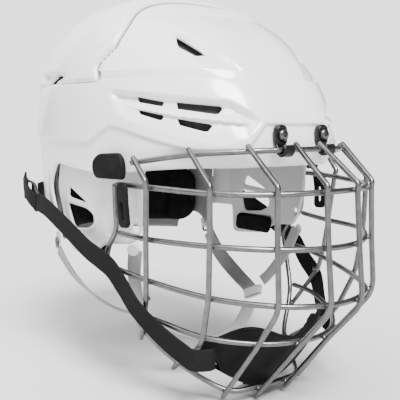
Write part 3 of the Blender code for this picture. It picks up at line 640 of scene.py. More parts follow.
def crease_place(places):
    """Along and below the crown crease, on the side that a point is on."""
    folded = np.stack([-np.abs(places[..., 0]), places[..., 1], places[..., 2]], axis=-1)
    away = folded - np.array(CREASE_START)
    down = away @ CREASE_DOWN
    sign = -1.0 if CREASE_DOWN[2] > 0 else 1.0
    return away @ CREASE_ALONG, down * sign


TOP_SLOT_OUTLINE = [tuple(float(v) for v in crease_place(np.array(p))) for p in TOP_SLOT]


def front_outline():
    ear = catmull(FRONT_LIP[1:] + EAR_EDGE, 5)
    lap = [(y + SEAM_LAP, z) for y, z in SEAM[:-1]] + [(-22.0, 56.0), (-36.3, 56.0), (-36.3, 47.85)]
    arm = [(ARM_END, -62.0), (ARM_END, 47.85)]
    return [FRONT_LIP[0]] + [tuple(p) for p in ear] + arm + lap[::-1] + [(-160.0, 135.0)]


def rear_outline():
    seam = [tuple(p) for p in catmull(SEAM[:4], 6)][:-1] + [(-43.2, 76.0), (-42.6, 72.5), (-33.5, 61.0),
                                                         (-33.0, 59.0), (-36.0, 48.2)]
    edge = ARM_END + 0.3
    return seam + [(edge, 48.2), (edge, -62.0), (160.0, -62.0), (160.0, 135.0)]


FRONT_OUTLINE = front_outline()
REAR_OUTLINE = rear_outline()


def slots_distance(places):
    """How far a point of the front shell is from the nearest vent slot; negative inside one."""
    round_it, height = girth(places), places[..., 2]
    nearest = np.full(height.shape, 1e9)
    for slot in SIDE_SLOTS:
        nearest = np.minimum(nearest, -inside_distance(round_it, height, slot))
    along, down = crease_place(places)
    return np.minimum(nearest, -inside_distance(along, down, TOP_SLOT_OUTLINE))


def front_measure(angle, height):
    places = surface(angle, height)
    return np.minimum(inside_distance(places[..., 1], places[..., 2], FRONT_OUTLINE), slots_distance(places))


def rear_measure(angle, height):
    places = surface(angle, height)
    kept = inside_distance(places[..., 1], places[..., 2], REAR_OUTLINE)
    return np.minimum(kept, -inside_distance(places[..., 1], places[..., 2], REAR_SLOT))


def scoop(distance_below, span, depth, bevel):
    """Depth of a recess that drops in over the bevel and rises back to flush over its span."""
    drop = smoothstep(distance_below / bevel)
    rise = 1.0 - np.clip((distance_below - bevel) / np.maximum(span - bevel, 1.0), 0.0, 1.0)
    return depth * drop * rise


def band_drop(s, z):
    """Depth of the faceted band below the ridge that runs round the side."""
    ridge = np.interp(s, (40.0, 57.0, 66.5, 90.6, 123.1, 132.3, 155.0, 176.0, 211.0, 282.0),
                      (-6.0, -0.5, 0.6, 6.9, 16.4, 17.2, 5.4, 5.0, 7.3, 8.7))
    under = np.clip(ridge - z, 0.0, None)
    return (2.0 * smoothstep(under / 3.4) + np.minimum(under * 0.07, 1.4)) * smoothstep((s - 44.0) / 14.0)


def front_offset(places):
    """Relief of the front shell over the plain surface."""
    s, z = girth(places), places[..., 2]
    centre = np.exp(-(s / 95.0) ** 2)
    relief = np.interp(z, (49.0, 50.4, 57.0, 64.0, 78.0), (0.0, -1.0, -0.35, -0.15, -0.15))
    relief = relief * (2.4 + 1.6 * centre)
    relief = np.where(z > 57.0, np.minimum(relief, -1.5 - 0.3 * smoothstep((z - 57.0) / 10.0)), relief)

    edge = np.interp(s, (25.6, 44.1, 82.5, 134.6), (21.0, 34.0, 38.0, 43.0))
    foot = np.interp(s, (25.6, 36.0, 50.0, 80.0, 110.0, 134.6), (20.0, 8.0, 3.0, 9.5, 19.0, 30.0))
    below = edge - z
    ends = smoothstep((134.6 - 0.45 * below - s) / 9.0) * smoothstep((s - 25.6 - 0.2 * below) / 9.0)
    recess = scoop(below, edge - foot, 5.4, 4.6) * ends
    rib_foot = np.interp(s, (33.0, 37.6, 75.6, 117.0), (17.6, 18.0, 22.6, 30.6))
    over = z - rib_foot
    tall = np.interp(s, (36.0, 40.0, 75.0, 119.0), (5.2, 5.6, 4.6, 1.2))
    rib = np.clip(1.0 - over / tall, 0.0, 1.0) * smoothstep((over + 1.0) / 1.0)
    rib *= np.interp(s, (32.0, 38.0, 90.0, 119.0), (0.0, 3.4, 3.0, 0.0))
    relief = relief - recess + rib

    relief = relief - band_drop(s, z)

    half = np.interp(z, (0.6, 18.7), (37.8, 25.0))
    brow = np.minimum((half - s) * 0.9, 18.7 - z)
    relief = relief - 2.3 * smoothstep(brow / 2.6)
    lip = np.clip(1.0 - z, 0.0, 15.0) / 15.0
    relief = relief - 8.0 * lip * smoothstep((98.0 - s) / 30.0)

    along, down = crease_place(places)
    run = smoothstep((along + 14.0) / 22.0) * smoothstep((CREASE_LENGTH + 16.0 - along) / 22.0)
    relief = relief - 1.9 * run * smoothstep(down / 4.0) * (1.0 - smoothstep((down - 2.0) / 20.0))
    return relief


def rear_offset(places):
    """Relief of the rear shell: proud above the side band, with a crease, a vent recess and a bevel."""
    y, z = places[..., 1], places[..., 2]
    relief = 1.6 * smoothstep((z - 42.0) / 6.0)
    line = -31.0 + (71.0 - z) * 0.9
    beside = smoothstep((z - 46.0) / 5.0) * (1.0 - smoothstep((z - 78.0) / 14.0))
    fade = 1.0 - smoothstep((y - line - 4.0) / 45.0)
    relief = relief - smoothstep((y - line) / 2.5) * fade * beside
    edge = np.interp(y, (2.0, 56.0), (56.2, 59.4))
    below = edge - z
    ends = smoothstep((y - 2.0 - below) / 8.0) * (1.0 - smoothstep((y - 58.0) / 5.0))
    relief = relief - scoop(below, edge - 44.0, 4.4, 3.0) * ends
    kept = inside_distance(y, z, REAR_OUTLINE)
    relief = relief - 1.5 * (1.0 - smoothstep(kept / 2.8))
    relief = relief - band_drop(girth(places), z) * smoothstep((40.0 - z) / 10.0)
    wave = np.abs(places[..., 0])
    crest = 1.2 * np.exp(-((wave - 34.0) / 5.0) ** 2) * smoothstep((z - 92.0) / 10.0)
    return relief + crest * smoothstep((y + 10.0) / 20.0) * (1.0 - smoothstep((y - 60.0) / 40.0))


def shell_piece(name, node, body, measure, relief, angles):
    params, faces = clipped_grid(angles, shell_rows(), measure, closed=len(angles) > 700)
    angle, height = params[:, 0], params[:, 1]
    places, normals = surface(angle, height), surface_normal(angle, height)
    edge = np.clip(measure(angle, height), 0.0, None)
    dip = rounded_edge(edge, 0.9)
    height_over = relief(places)
    outer = places + normals * (height_over - dip)[:, None]
    inner = places + normals * (np.minimum(height_over, 0.5) * 0.85 - SHELL_THICKNESS)[:, None]
    points, closed = thicken(outer, inner, faces)
    piece = new_mesh(name, points, closed, sharp=50.0)
    return place_piece(piece, GLOSS_WHITE, body, (node,))


def add_seam_painted_shadow():
    """A thin grey strip in the joint along the front edge of the rear half: painted shadow in the gap between
    the halves.
    """
    def measure(angle, height):
        places = surface(angle, height)
        y, z = places[..., 1], places[..., 2]
        strip = 0.75 - np.abs(inside_distance(y, z, REAR_OUTLINE) + 0.55)
        return np.minimum(np.minimum(strip, z - 49.4), -26.0 - y)

    def place(angle, height, off):
        places = surface(angle, height)
        lift = np.minimum(front_offset(places), 0.0)
        return places + surface_normal(angle, height) * (lift + off + 0.4)[..., None]
    around = np.radians(np.linspace(-121.0, 121.0, 581))
    piece = sheet("seam_painted_shadow_strip", around, shell_rows(), measure, place, 1.0, 0.2)
    # Its grey colour is painted shadow for the dark gap at the seam.
    place_piece(piece, PAINTED_SHADE_PLASTIC, "helmet", ())


def add_shells():
    around = np.radians(np.linspace(-180.0, 180.0, 861)[:-1])
    front = around[np.abs(around) < math.radians(121.0)]
    shell_piece("front_shell_skin", "front_shell", "helmet", front_measure, front_offset, front)
    shell_piece("rear_shell_skin", "rear_shell", "rear_half", rear_measure, rear_offset, around)
    add_seam_painted_shadow()


add_shells()


# ---------------------------------------------------------------- liners and pads

def helmet_place(depth):
    """A place function on the helmet's surface, below it by depth; u is the angle and v the height."""
    return lambda angle, height, off: surface(angle, height, off - depth)


def add_liners():
    """Moulded foam in blocks, with channels between them on the inner face."""
    seam = [(y - 6.0, z) for y, z in SEAM[:-1]] + [(-42.0, -10.0)]
    front = [(-160.0, -10.0), (-160.0, 135.0)] + seam
    seam = [(y - 5.4, z) for y, z in SEAM[:-1]] + [(-41.4, -10.0)]
    rear = seam + [(160.0, -10.0), (160.0, 135.0)]

    def channels(angle, height):
        across = np.abs((np.degrees(angle) / 24.0 + 0.5) % 1.0 - 0.5) * 24.0 * 1.7
        level = np.abs((height - 6.0) / 27.0 % 1.0 - 0.5)
        level = (0.5 - level) * 27.0
        fade = smoothstep((104.0 - height) / 10.0)
        return 2.6 * fade * np.exp(-(np.minimum(across, level) / 2.6) ** 2)

    around = np.radians(steps(-180.0, 180.0, 1.25))
    rows = np.concatenate([steps(2.0, 62.0, 1.8), crown_rows(63.5, 34)])
    for name, outline, body in (("front_liner", front, "helmet"), ("rear_liner", rear, "rear_half")):
        def measure(angle, height, outline=outline):
            places = surface(angle, height, -9.0)
            return np.minimum(inside_distance(places[..., 1], places[..., 2], outline), height - 1.99)
        columns = around[np.abs(around) < math.radians(122.0)] if body == "helmet" else around
        piece = sheet(f"{name}_foam", columns, rows, measure, helmet_place(9.0), 9.0, 2.2, under=channels)
        # The liner's near-black colour is painted shade laid over grey foam.
        place_piece(piece, GREY_FOAM_PAINTED_SHADE, body, (name,))


def cushion(name, node, body, start, end, low, high, depth, thickness, corner, seams=(), material=None):
    """A crowned pad that follows the helmet; angles in degrees, seams in millimetres from its middle."""
    middle, level = math.radians((start + end) / 2), (low + high) / 2
    nudge = 0.01
    stride = surface(middle + nudge, level, -depth) - surface(middle, level, -depth)
    reach = float(np.linalg.norm(stride)) / nudge
    half_u, half_v = math.radians(end - start) / 2 * reach, (high - low) / 2

    def measure(angle, height):
        return rounded_box((angle - middle) * reach, height - level, half_u, half_v, corner)

    def sag(angle, height):
        edge = np.clip(measure(angle, height), 0.0, 7.0) / 7.0
        hollow = 0.42 * (1.0 - np.sqrt(1.0 - (1.0 - edge) ** 2))
        groove = 0.0
        for seam in seams:
            groove = groove + 0.34 * np.exp(-(((angle - middle) * reach - seam) / 2.0) ** 2)
        wrinkle = 0.02 * np.sin(angle * 61.0 + height * 0.21) * np.sin(height * 0.47 - angle * 23.0)
        return thickness * np.minimum(hollow + groove + 0.02 + wrinkle, 0.62)

    piece = sheet(name, steps(math.radians(start), math.radians(end), 1.1 / reach), steps(low, high, 1.1),
                  measure, helmet_place(depth), thickness, 1.6, under=sag)
    place_piece(piece, material or PAD_CLOTH, body, (node,))


def add_pads():
    cushion("forehead_cushion", "forehead_pad", "helmet", -36, 36, 4, 34, PAD_DEPTH, 8.0, 9.0,
            (-38.0, 0.0, 38.0))
    for side, word in SIDES:
        start, end = (46, 68) if side < 0 else (-68, -46)
        cushion(f"temple_cushion_{word}", f"temple_pad_{word}", "helmet", start, end, 4, 34,
                PAD_DEPTH, 8.0, 8.0)
        start, end = (78, 100) if side < 0 else (-100, -78)
        cushion(f"ear_cushion_{word}", f"ear_pad_{word}", "helmet", start, end, -82, -67, 12.3, 5.0, 5.0)
    cushion("rear_cushion", "rear_pad", "rear_half", 146, 214, 6, 44, PAD_DEPTH, 8.0, 10.0,
            (-26.0, 26.0))
    cushion("occipital_cushion", "occipital_pad", "rear_half", 124, 236, -78, -26, 15.3, 9.0, 15.0,
            (-64.0, -26.0, 26.0, 64.0))
    crown_pads = (("crown_pad_front", -46.0, 4.0, "helmet"), ("crown_pad_rear", 12.0, 1.2, "rear_half"))
    for name, low, clearance, body in crown_pads:
        top = PAD_DEPTH + clearance

        def measure(u, v, low=low):
            return rounded_box(u, v - low - 17.0, 26.0, 17.0, 8.0)

        def place(u, v, off, top=top):
            return np.stack([u, v, surface_height(u, v) - top + off], axis=-1)

        def sag(u, v, measure=measure):
            edge = np.clip(measure(u, v), 0.0, 7.0) / 7.0
            return 3.4 * (1.0 - np.sqrt(1.0 - (1.0 - edge) ** 2)) + 2.4 * np.exp(-(u / 2.2) ** 2)
        piece = sheet(f"{name}_cushion", steps(-26, 26, 1.2), steps(low, low + 34.0, 1.2), measure, place,
                      8.0, 1.6, under=sag)
        place_piece(piece, PAD_CLOTH, body, (name,))


def surface_height(x, y):
    """Height of the outer surface over places of the plan, by bisection."""
    low, high = np.zeros(x.shape), np.full(x.shape, CROWN_HEIGHT)
    for _ in range(40):
        middle = (low + high) / 2
        half_width = HALF_WIDTH * profile(middle, *WIDTH_PROFILE)
        reach = np.where(y < 0.0, FRONT_REACH * profile(middle, *FRONT_PROFILE),
                         REAR_REACH * profile(middle, *REAR_PROFILE))
        inside = ((np.abs(x) / np.maximum(half_width, 1e-6)) ** ROUNDNESS
                  + (np.abs(y) / np.maximum(reach, 1e-6)) ** ROUNDNESS) < 1.0
        low, high = np.where(inside, middle, low), np.where(inside, high, middle)
    return low


def add_occipital_frame():
    def measure(angle, height):
        across = np.degrees(angle - math.pi) * 1.95
        kept = rounded_box(across, height + 46.0, 124.7, 40.0, 16.0)
        for middle in (-92.0, 92.0):
            kept = np.minimum(kept, -rounded_box(across - middle, height + 30.0, 9.0, 9.0, 5.0))
        for middle in (-106.0, 106.0):
            kept = np.minimum(kept, np.hypot(across - middle, height + 84.0) - 14.5)
        return kept

    def ribs(angle, height):
        return 0.9 * smoothstep((5.0 - measure(angle, height)) / 1.0)
    piece = sheet("occipital_plate", np.radians(steps(116.0, 244.0, 0.7)), steps(-86.0, -6.0, 1.3), measure,
                  helmet_place(12.0), 3.0, 1.0, under=lambda a, h: -ribs(a, h) * 0.2)
    # The occipital plate is white plastic; its grey colour is painted shade for the shadowed inside of the
    # helmet.
    place_piece(piece, PAINTED_SHADE_PLASTIC, "rear_half", ("occipital_frame",))


# ---------------------------------------------------------------- ear guards

EAR_OUTLINE = [(-80, -4), (28, -4), (33, -18), (40, -33), (36, -50), (31, -66), (27, -86), (-12, -83),
               (-28, -73), (-58, -70), (-66, -60), (-72, -38), (-71, -20)]
EAR_TRIANGLE = [(16, -31), (19, -40), (-12, -43)]
EAR_WINDOW = [(23, -45), (-9, -47), (-18, -51), (-18, -58), (-8, -63), (15, -65)]


def soft_corners(outline, radius):
    """The outline with each corner cut by a short arc."""
    outline = [np.asarray(p, float) for p in outline]
    path = []
    for i, corner in enumerate(outline):
        before, after = outline[i - 1] - corner, outline[(i + 1) % len(outline)] - corner
        cut = min(radius, 0.4 * np.linalg.norm(before), 0.4 * np.linalg.norm(after))
        start, end = corner + unit(before) * cut, corner + unit(after) * cut
        path += [start * (1 - t) ** 2 + corner * 2 * t * (1 - t) + end * t * t for t in np.linspace(0, 1, 6)]
    return path


def add_ear_guards():
    outline, triangle = soft_corners(EAR_OUTLINE, 7.0), soft_corners(EAR_TRIANGLE, 3.0)
    window = soft_corners(EAR_WINDOW, 5.0)

    def openings(y, z):
        near = np.minimum(-inside_distance(y, z, triangle), -inside_distance(y, z, window))
        return np.minimum(near, np.hypot(y + 62.0, z + 58.0) - 3.2)

    def measure(angle, height):
        places = surface(angle, height, -EAR_GUARD_DEPTH)
        y, z = places[..., 1], places[..., 2]
        return np.minimum(inside_distance(y, z, outline), openings(y, z))

    def relief(angle, height):
        places = surface(angle, height, -EAR_GUARD_DEPTH)
        y, z = places[..., 1], places[..., 2]
        rim = smoothstep((4.2 - openings(y, z)) / 1.2) * 0.8
        edge = smoothstep((4.0 - inside_distance(y, z, outline)) / 1.2) * 0.8
        panel = 1.2 * smoothstep((inside_distance(y, z, outline) - 6.0) / 1.5) * smoothstep((-30.0 - y) / 3.0)
        return np.maximum(rim, edge) - panel - 0.8

    for side, word in SIDES:
        def place(angle, height, off, side=side):
            return surface(angle, height, off - EAR_GUARD_DEPTH) * (-side, 1, 1)
        columns, rows = np.radians(steps(34.0, 112.0, 0.42)), steps(-90.0, -3.0, 0.9)
        piece = sheet(f"ear_guard_{word}_plate", columns, rows, measure, place, 2.5, 0.7, over=relief)
        place_piece(piece, SATIN_WHITE, "helmet", (f"ear_guard_{word}",))


# ---------------------------------------------------------------- cage

def crossing_normal(azimuth, tilt):
    a, t = math.radians(azimuth), math.radians(tilt)
    return Vector((math.sin(a) * math.cos(t), -math.cos(a) * math.cos(t), -math.sin(t)))


def crossing(upright, index, out):
    """Where a wire passes a crossing of an upright, moved out of the cage's skin by out."""
    x, y, z, tilt = UPRIGHTS[upright][index]
    return Vector((x, y, z)) + crossing_normal(UPRIGHT_AZIMUTH[upright], tilt) * out


def bent_path(keys, radius, count=8):
    """Straight runs with an arc at each key; the corner lies outside it, so the arc meets the key."""
    path = [keys[0]]
    for i in range(1, len(keys) - 1):
        before, after = keys[i - 1] - keys[i], keys[i + 1] - keys[i]
        turn = math.pi - before.angle(after)
        if turn < math.radians(6):
            path.append(keys[i])
            continue
        cut = min(radius, 0.45 * before.length, 0.45 * after.length)
        corner = keys[i] - (before.normalized() + after.normalized()) * cut / 4
        start, end = corner + before.normalized() * cut, corner + after.normalized() * cut
        path += [start * (1 - t) ** 2 + corner * 2 * t * (1 - t) + end * t * t
                 for t in (k / count for k in range(count + 1))]
    path.append(keys[-1])
    return path


def mirrored(path):
    """The path for x > 0, led through the middle to its mirror image."""
    return [Vector((-p.x, p.y, p.z)) for p in reversed(path)] + list(path)


def add_wire(node, path):
    place_piece(tube(f"{node}_wire", path, WIRE_RADIUS), STEEL, "cage", (node,))


def add_cage():
    for name, index in (("brow_bar", 0), ("ring_upper", 2), ("ring_middle", 3), ("ring_lower", 4)):
        half = [crossing(u, index, -WIRE_STEP) for u in "dcba"] + [BAR_ENDS[name]]
        if name == "brow_bar":
            half = [Vector((CLIP_X + 7.0, HINGE_Y, HINGE_Z))] + half[1:]
            curve = [Vector(p) for p in catmull(half, 14)]
            add_wire(name, mirrored(curve))
        else:
            add_wire(name, catmull(mirrored(half), 14))
    half = [crossing(u, 5, -WIRE_STEP) for u in "dcb"]
    half += [Vector((77.0, -86.0, -124.0)), BAR_ENDS["ring_chin"]]
    add_wire("ring_chin", catmull(mirrored(half), 14))
    half = [crossing(u, 6, -WIRE_STEP) for u in "dcba"] + RIM_SIDE
    add_wire("cage_rim", catmull(mirrored(half), 12))
    blobs = []
    for letter in "abcd":
        keys = [crossing(letter, i, WIRE_STEP) for i in range(len(UPRIGHTS[letter]))]
        keys[0] += (keys[0] - keys[1]).normalized() * 2.5
        keys[-1] += (keys[-1] - keys[-2]).normalized() * 5.0
        path = bent_path(keys, BEND_RADIUS)
        for side, word in SIDES:
            add_wire(f"upright_{letter}_{word}", [(p.x * side, p.y, p.z) for p in path])
            for i, (_, _, _, tilt) in enumerate(UPRIGHTS[letter]):
                if i != 1:
                    middle = crossing(letter, i, 0.0)
                    out = crossing_normal(UPRIGHT_AZIMUTH[letter], tilt)
                    blobs.append(((side * middle.x, middle.y, middle.z), (side * out.x, out.y, out.z)))
    add_welds(blobs)


def add_welds(blobs):
    """Small fused lumps that join the wires where they cross."""
    points, faces = [], []
    for place, out in blobs:
        out = unit(np.asarray(out))
        side = unit(np.cross(out, (0.0, 0.0, 1.0)))
        up = np.cross(out, side)
        rings = []
        for run, size in ((-1.5, 0.9), (-1.1, 1.8), (-0.4, 1.75), (0.4, 1.75), (1.1, 1.8), (1.5, 0.9)):
            turn = np.linspace(0.0, 2 * math.pi, 15)[:-1]
            rings.append(np.asarray(place) + out * run
                         + size * (np.cos(turn)[:, None] * side + np.sin(turn)[:, None] * up))
        lump, skin = join_rings(rings)
        faces += [tuple(i + len(points) * len(lump) for i in f) for f in skin]
        points.append(lump)
    lumps = new_mesh("cage_welds", np.concatenate(points), faces, sharp=60.0)
    place_piece(lumps, STEEL, "cage", ())


def curved_place(keys, per_span=12):
    """A place function along a curved centre line, and its length; u runs along it in millimetres."""
    path = catmull([k[0] for k in keys], per_span)
    outward = unit(catmull([k[1] for k in keys], per_span))
    along = unit(np.gradient(path, axis=0))
    across = unit(np.cross(outward, along))
    out = np.cross(along, across)
    run = np.concatenate([[0.0], np.cumsum(np.linalg.norm(np.diff(path, axis=0), axis=1))])

    def read(u, field):
        return np.stack([np.interp(u, run, field[:, i]) for i in range(3)], axis=-1)

    def place(u, v, off):
        middle = read(u, path) + v[:, None] * read(u, across)
        return middle + (off + 0.0 * u)[:, None] * read(u, out)
    return place, run[-1]


# The outer face of an end cap: its x where y is -END_CAP_FORWARD, and its lean from there.
END_CAP_REACH = 103.0
END_CAP_LEAN = 0.24
END_CAP_FORWARD = 63.0


def add_end_caps():
    outline = soft_corners([(-69.8, -21.5), (-70.8, -14.5), (-69.6, -7.0), (-66.0, -2.5), (-46.0, -3.5),
                            (-40.5, -8.0), (-39.5, -15.0), (-43.0, -21.5)], 4.0)

    def measure(y, z):
        return inside_distance(y, z, outline)

    def relief(y, z):
        boss = np.exp(-((z + 11.0) / 4.2) ** 2) * smoothstep((-50.0 - y) / 8.0)
        return 0.9 * boss - 0.9 - 0.5 * np.exp(-((measure(y, z) - 3.4) / 0.8) ** 2)

    for side, word in SIDES:
        def cap_place(y, z, off, side=side):
            reach = END_CAP_REACH + END_CAP_LEAN * (y + END_CAP_FORWARD) + off
            return np.stack([side * reach, y, z], axis=-1)
        piece = sheet(f"end_cap_{word}_rubber", steps(-70.8, -39.5, 0.6), steps(-21.5, -2.5, 0.6),
                      measure, cap_place, 4.8, 1.8, over=relief)
        place_piece(piece, BLACK_RUBBER, "cage", (f"end_cap_{word}",))
        keys = [((side * 100.4, -69.5, -23.5), (side, 0, 0)), ((side * 100.9, -71.5, -38.0), (side, 0, 0)),
                ((side * 100.0, -72.5, -55.0), (side, 0, 0))]
        place, length = curved_place(keys)

        def strap(u, v, length=length):
            kept = rounded_box(u - length / 2, v, length / 2, 6.0, 4.0)
            return np.minimum(kept, -rounded_box(u - length + 12.0, v, 6.5, 1.7, 1.6))
        piece = sheet(f"cap_strap_{word}_rubber", steps(0.0, length, 0.6), steps(-6.0, 6.0, 0.5),
                      strap, place, 3.0, 0.9)
        piece.data.transform(Matrix.Translation((side * 1.5 * MM, 0.0, 0.0)))
        place_piece(piece, BLACK_RUBBER, "cage", (f"cap_strap_{word}",))


def add_front_clips():
    """J-shaped clips: a screwed pad above, and a hook that wraps round the brow bar."""
    face_y = -147.3
    for side, word in SIDES:
        x = side * CLIP_X

        def pad(u, v):
            kept = rounded_box(u, v - 9.6, 5.0, 7.6, 4.6)
            return np.minimum(kept, np.hypot(u, v - 10.0) - 2.6)

        def place(u, v, off, x=x):
            return np.stack([x + u, face_y - off, v], axis=-1)

        def crest(u, v):
            return 0.7 * smoothstep((np.hypot(u, v - 10.0) - 4.3) / 0.6) - 0.7
        piece = sheet(f"front_clip_{word}_pad", steps(-5.0, 5.0, 0.4), steps(2.0, 17.2, 0.4),
                      pad, place, 5.2, 1.2, over=crest)
        place_piece(piece, BLACK_PLASTIC, "helmet", (f"front_clip_{word}",))
        keys = [((x, -144.6, 6.5), (0, 1, 0)), ((x, -144.9, 3.6), (0, 1, 0.1))]
        for degrees in range(10, -231, -30):
            a = math.radians(degrees)
            keys.append(((x, HINGE_Y + 3.8 * math.cos(a), HINGE_Z + 3.8 * math.sin(a)),
                         (0, math.cos(a), math.sin(a))))
        hook = ribbon(f"front_clip_{word}_hook", keys, 10.0, 2.0, per_span=6)
        place_piece(hook, BLACK_PLASTIC, "helmet", ())
        head = [(0.5, -4.4), (1.8, -4.4), (1.8, 0.0), (3.6, 0.0), (4.0, 0.35), (3.9, 0.9), (3.3, 1.6),
                (2.3, 2.05), (1.7, 2.1), (1.55, 1.9), (1.5, 0.9), (0.6, 0.6)]
        screw = lathe(f"front_clip_{word}_screw", head, (x, -147.78, 10.0), (0, -1, 0), 48, hexed=(8, 9, 10))
        place_piece(screw, STEEL_DARK, "helmet", (f"front_clip_screw_{word}",))


# ---------------------------------------------------------------- chin cup

def cup_place(share, row, off):
    """A place on the cup; share runs from wing to wing and row from its top edge down."""
    turn = np.radians(CUP_HALF_ANGLE * share)
    blend = share ** 4
    middle, tip = CUP_MIDDLE_LINE, CUP_TIP_LINE
    at = np.clip(row, 0.0, 5.0) / 5.0 * (len(middle) - 1)
    index = np.arange(len(middle))
    reach, height = (np.interp(at, index, middle[:, i]) * (1 - blend)
                     + np.interp(at, index, tip[:, i]) * blend for i in range(2))
    height = height + CUP_LOBE * np.sin(math.pi * share) ** 2 * (1.0 - row / 5.0)
    lean = np.minimum(row / 4.0, 1.0) * (1.0 - blend)
    reach = np.maximum(reach + off * (1.0 - 0.55 * lean), 0.5)
    height = height - off * 0.85 * lean
    return np.stack([reach * np.sin(turn), CUP_CENTRE_Y - reach * np.cos(turn), height], axis=-1)


CUP_MIDDLE_LINE = catmull(CUP_MIDDLE, 10)
CUP_TIP_LINE = catmull(CUP_TIP, 10)


def round_cornered(side, end, corner):
    """Distance inside a plate with rounded corners, from the distances to its two nearest edges."""
    a, b = corner - side, corner - end
    outside = np.hypot(np.clip(a, 0.0, None), np.clip(b, 0.0, None))
    return corner - outside - np.minimum(np.maximum(a, b), 0.0)


def add_chin_cup():
    def measure(share, row):
        side = (1.0 - np.abs(share)) * CUP_HALF_ARC
        tall = 14.0 - 9.0 * share ** 4
        top, low = row * tall, (5.0 - row) * tall
        kept = round_cornered(side, np.minimum(top, low), 5.0)
        slot = rounded_box((np.abs(share) - 0.86) * CUP_HALF_ARC, (row - 2.2) * tall, 1.7, 8.0, 1.6)
        return np.minimum(kept, -slot)

    def relief(share, row):
        return 0.8 * smoothstep((3.2 - measure(share, row)) / 1.0) - 0.8
    shares = steps(-1.0, 1.0, 0.0105)
    rows = steps(0.0, 4.96, 0.06)
    cup = sheet("chin_cup_shell", shares, rows, measure, cup_place, 3.0, 0.9, over=relief)
    place_piece(cup, BLACK_RUBBER, "cage", ("chin_cup",))

    def pad_measure(share, row):
        side = (0.9 - np.abs(share)) * CUP_HALF_ARC
        tall = 14.0 - 8.5 * share * share
        top = (row - 0.25) * tall
        low = (3.75 - row) * tall
        return round_cornered(side, np.minimum(top, low), 6.0)

    def sag(share, row):
        edge = np.clip(pad_measure(share, row), 0.0, 6.0) / 6.0
        seam = sum(np.exp(-((share - s) * CUP_HALF_ARC / 1.8) ** 2) for s in (-0.34, 0.34))
        return 2.6 * (1.0 - np.sqrt(1.0 - (1.0 - edge) ** 2)) + 2.0 * seam * edge
    pad = sheet("chin_cup_lining", steps(-0.92, 0.92, 0.014), steps(0.2, 3.8, 0.08), pad_measure,
                lambda s, r, off: cup_place(s, r, off - 4.2), 5.0, 1.4, under=sag)
    place_piece(pad, PAD_CLOTH, "cage", ("chin_cup_pad",))


# ---------------------------------------------------------------- straps

def add_strap(name, node, keys, width, material, body, thickness=1.6):
    place_piece(ribbon(name, keys, width, thickness), material, body, (node,))


def add_buckle(side, word):
    """A ladder lock: a frame with two bars, its upper lip turned out."""
    place = flat_place((side * 98.0, 79.0, -43.0), (side * 0.12, -0.83, -0.4), (side, 0.3, 0.0))

    def measure(u, v):
        kept = rounded_box(u, v, 15.0, 10.0, 3.0)
        for middle in (-6.8, 6.4):
            kept = np.minimum(kept, -rounded_box(u - middle, v, 2.6, 8.0, 1.2))
        return kept

    def lift(u, v, off):
        return place(u, v, off + 2.4 * smoothstep((-u - 5.0) / 6.0) - 0.8 * np.cos(u / 3.2))
    piece = sheet(f"strap_buckle_{word}_frame", steps(-15.0, 15.0, 0.5), steps(-10.0, 10.0, 0.5), measure,
                  lift, 3.0, 1.1)
    place_piece(piece, BLACK_PLASTIC, "cage", (f"strap_buckle_{word}",))
    tail = [((side * 100.5, 66.0, -49.0), (side, 0.3, 0.0)), ((side * 101.0, 78.0, -43.4), (side, 0.3, 0.0)),
            ((side * 99.4, 88.0, -37.0), (side, 0.3, 0.0)), ((side * 97.5, 93.0, -27.0), (side, 0.3, 0.0))]
    loose = ribbon(f"cage_strap_{word}_tail", tail, 15.0, 1.5)
    place_piece(loose, BLACK_WEBBING, "cage", ())


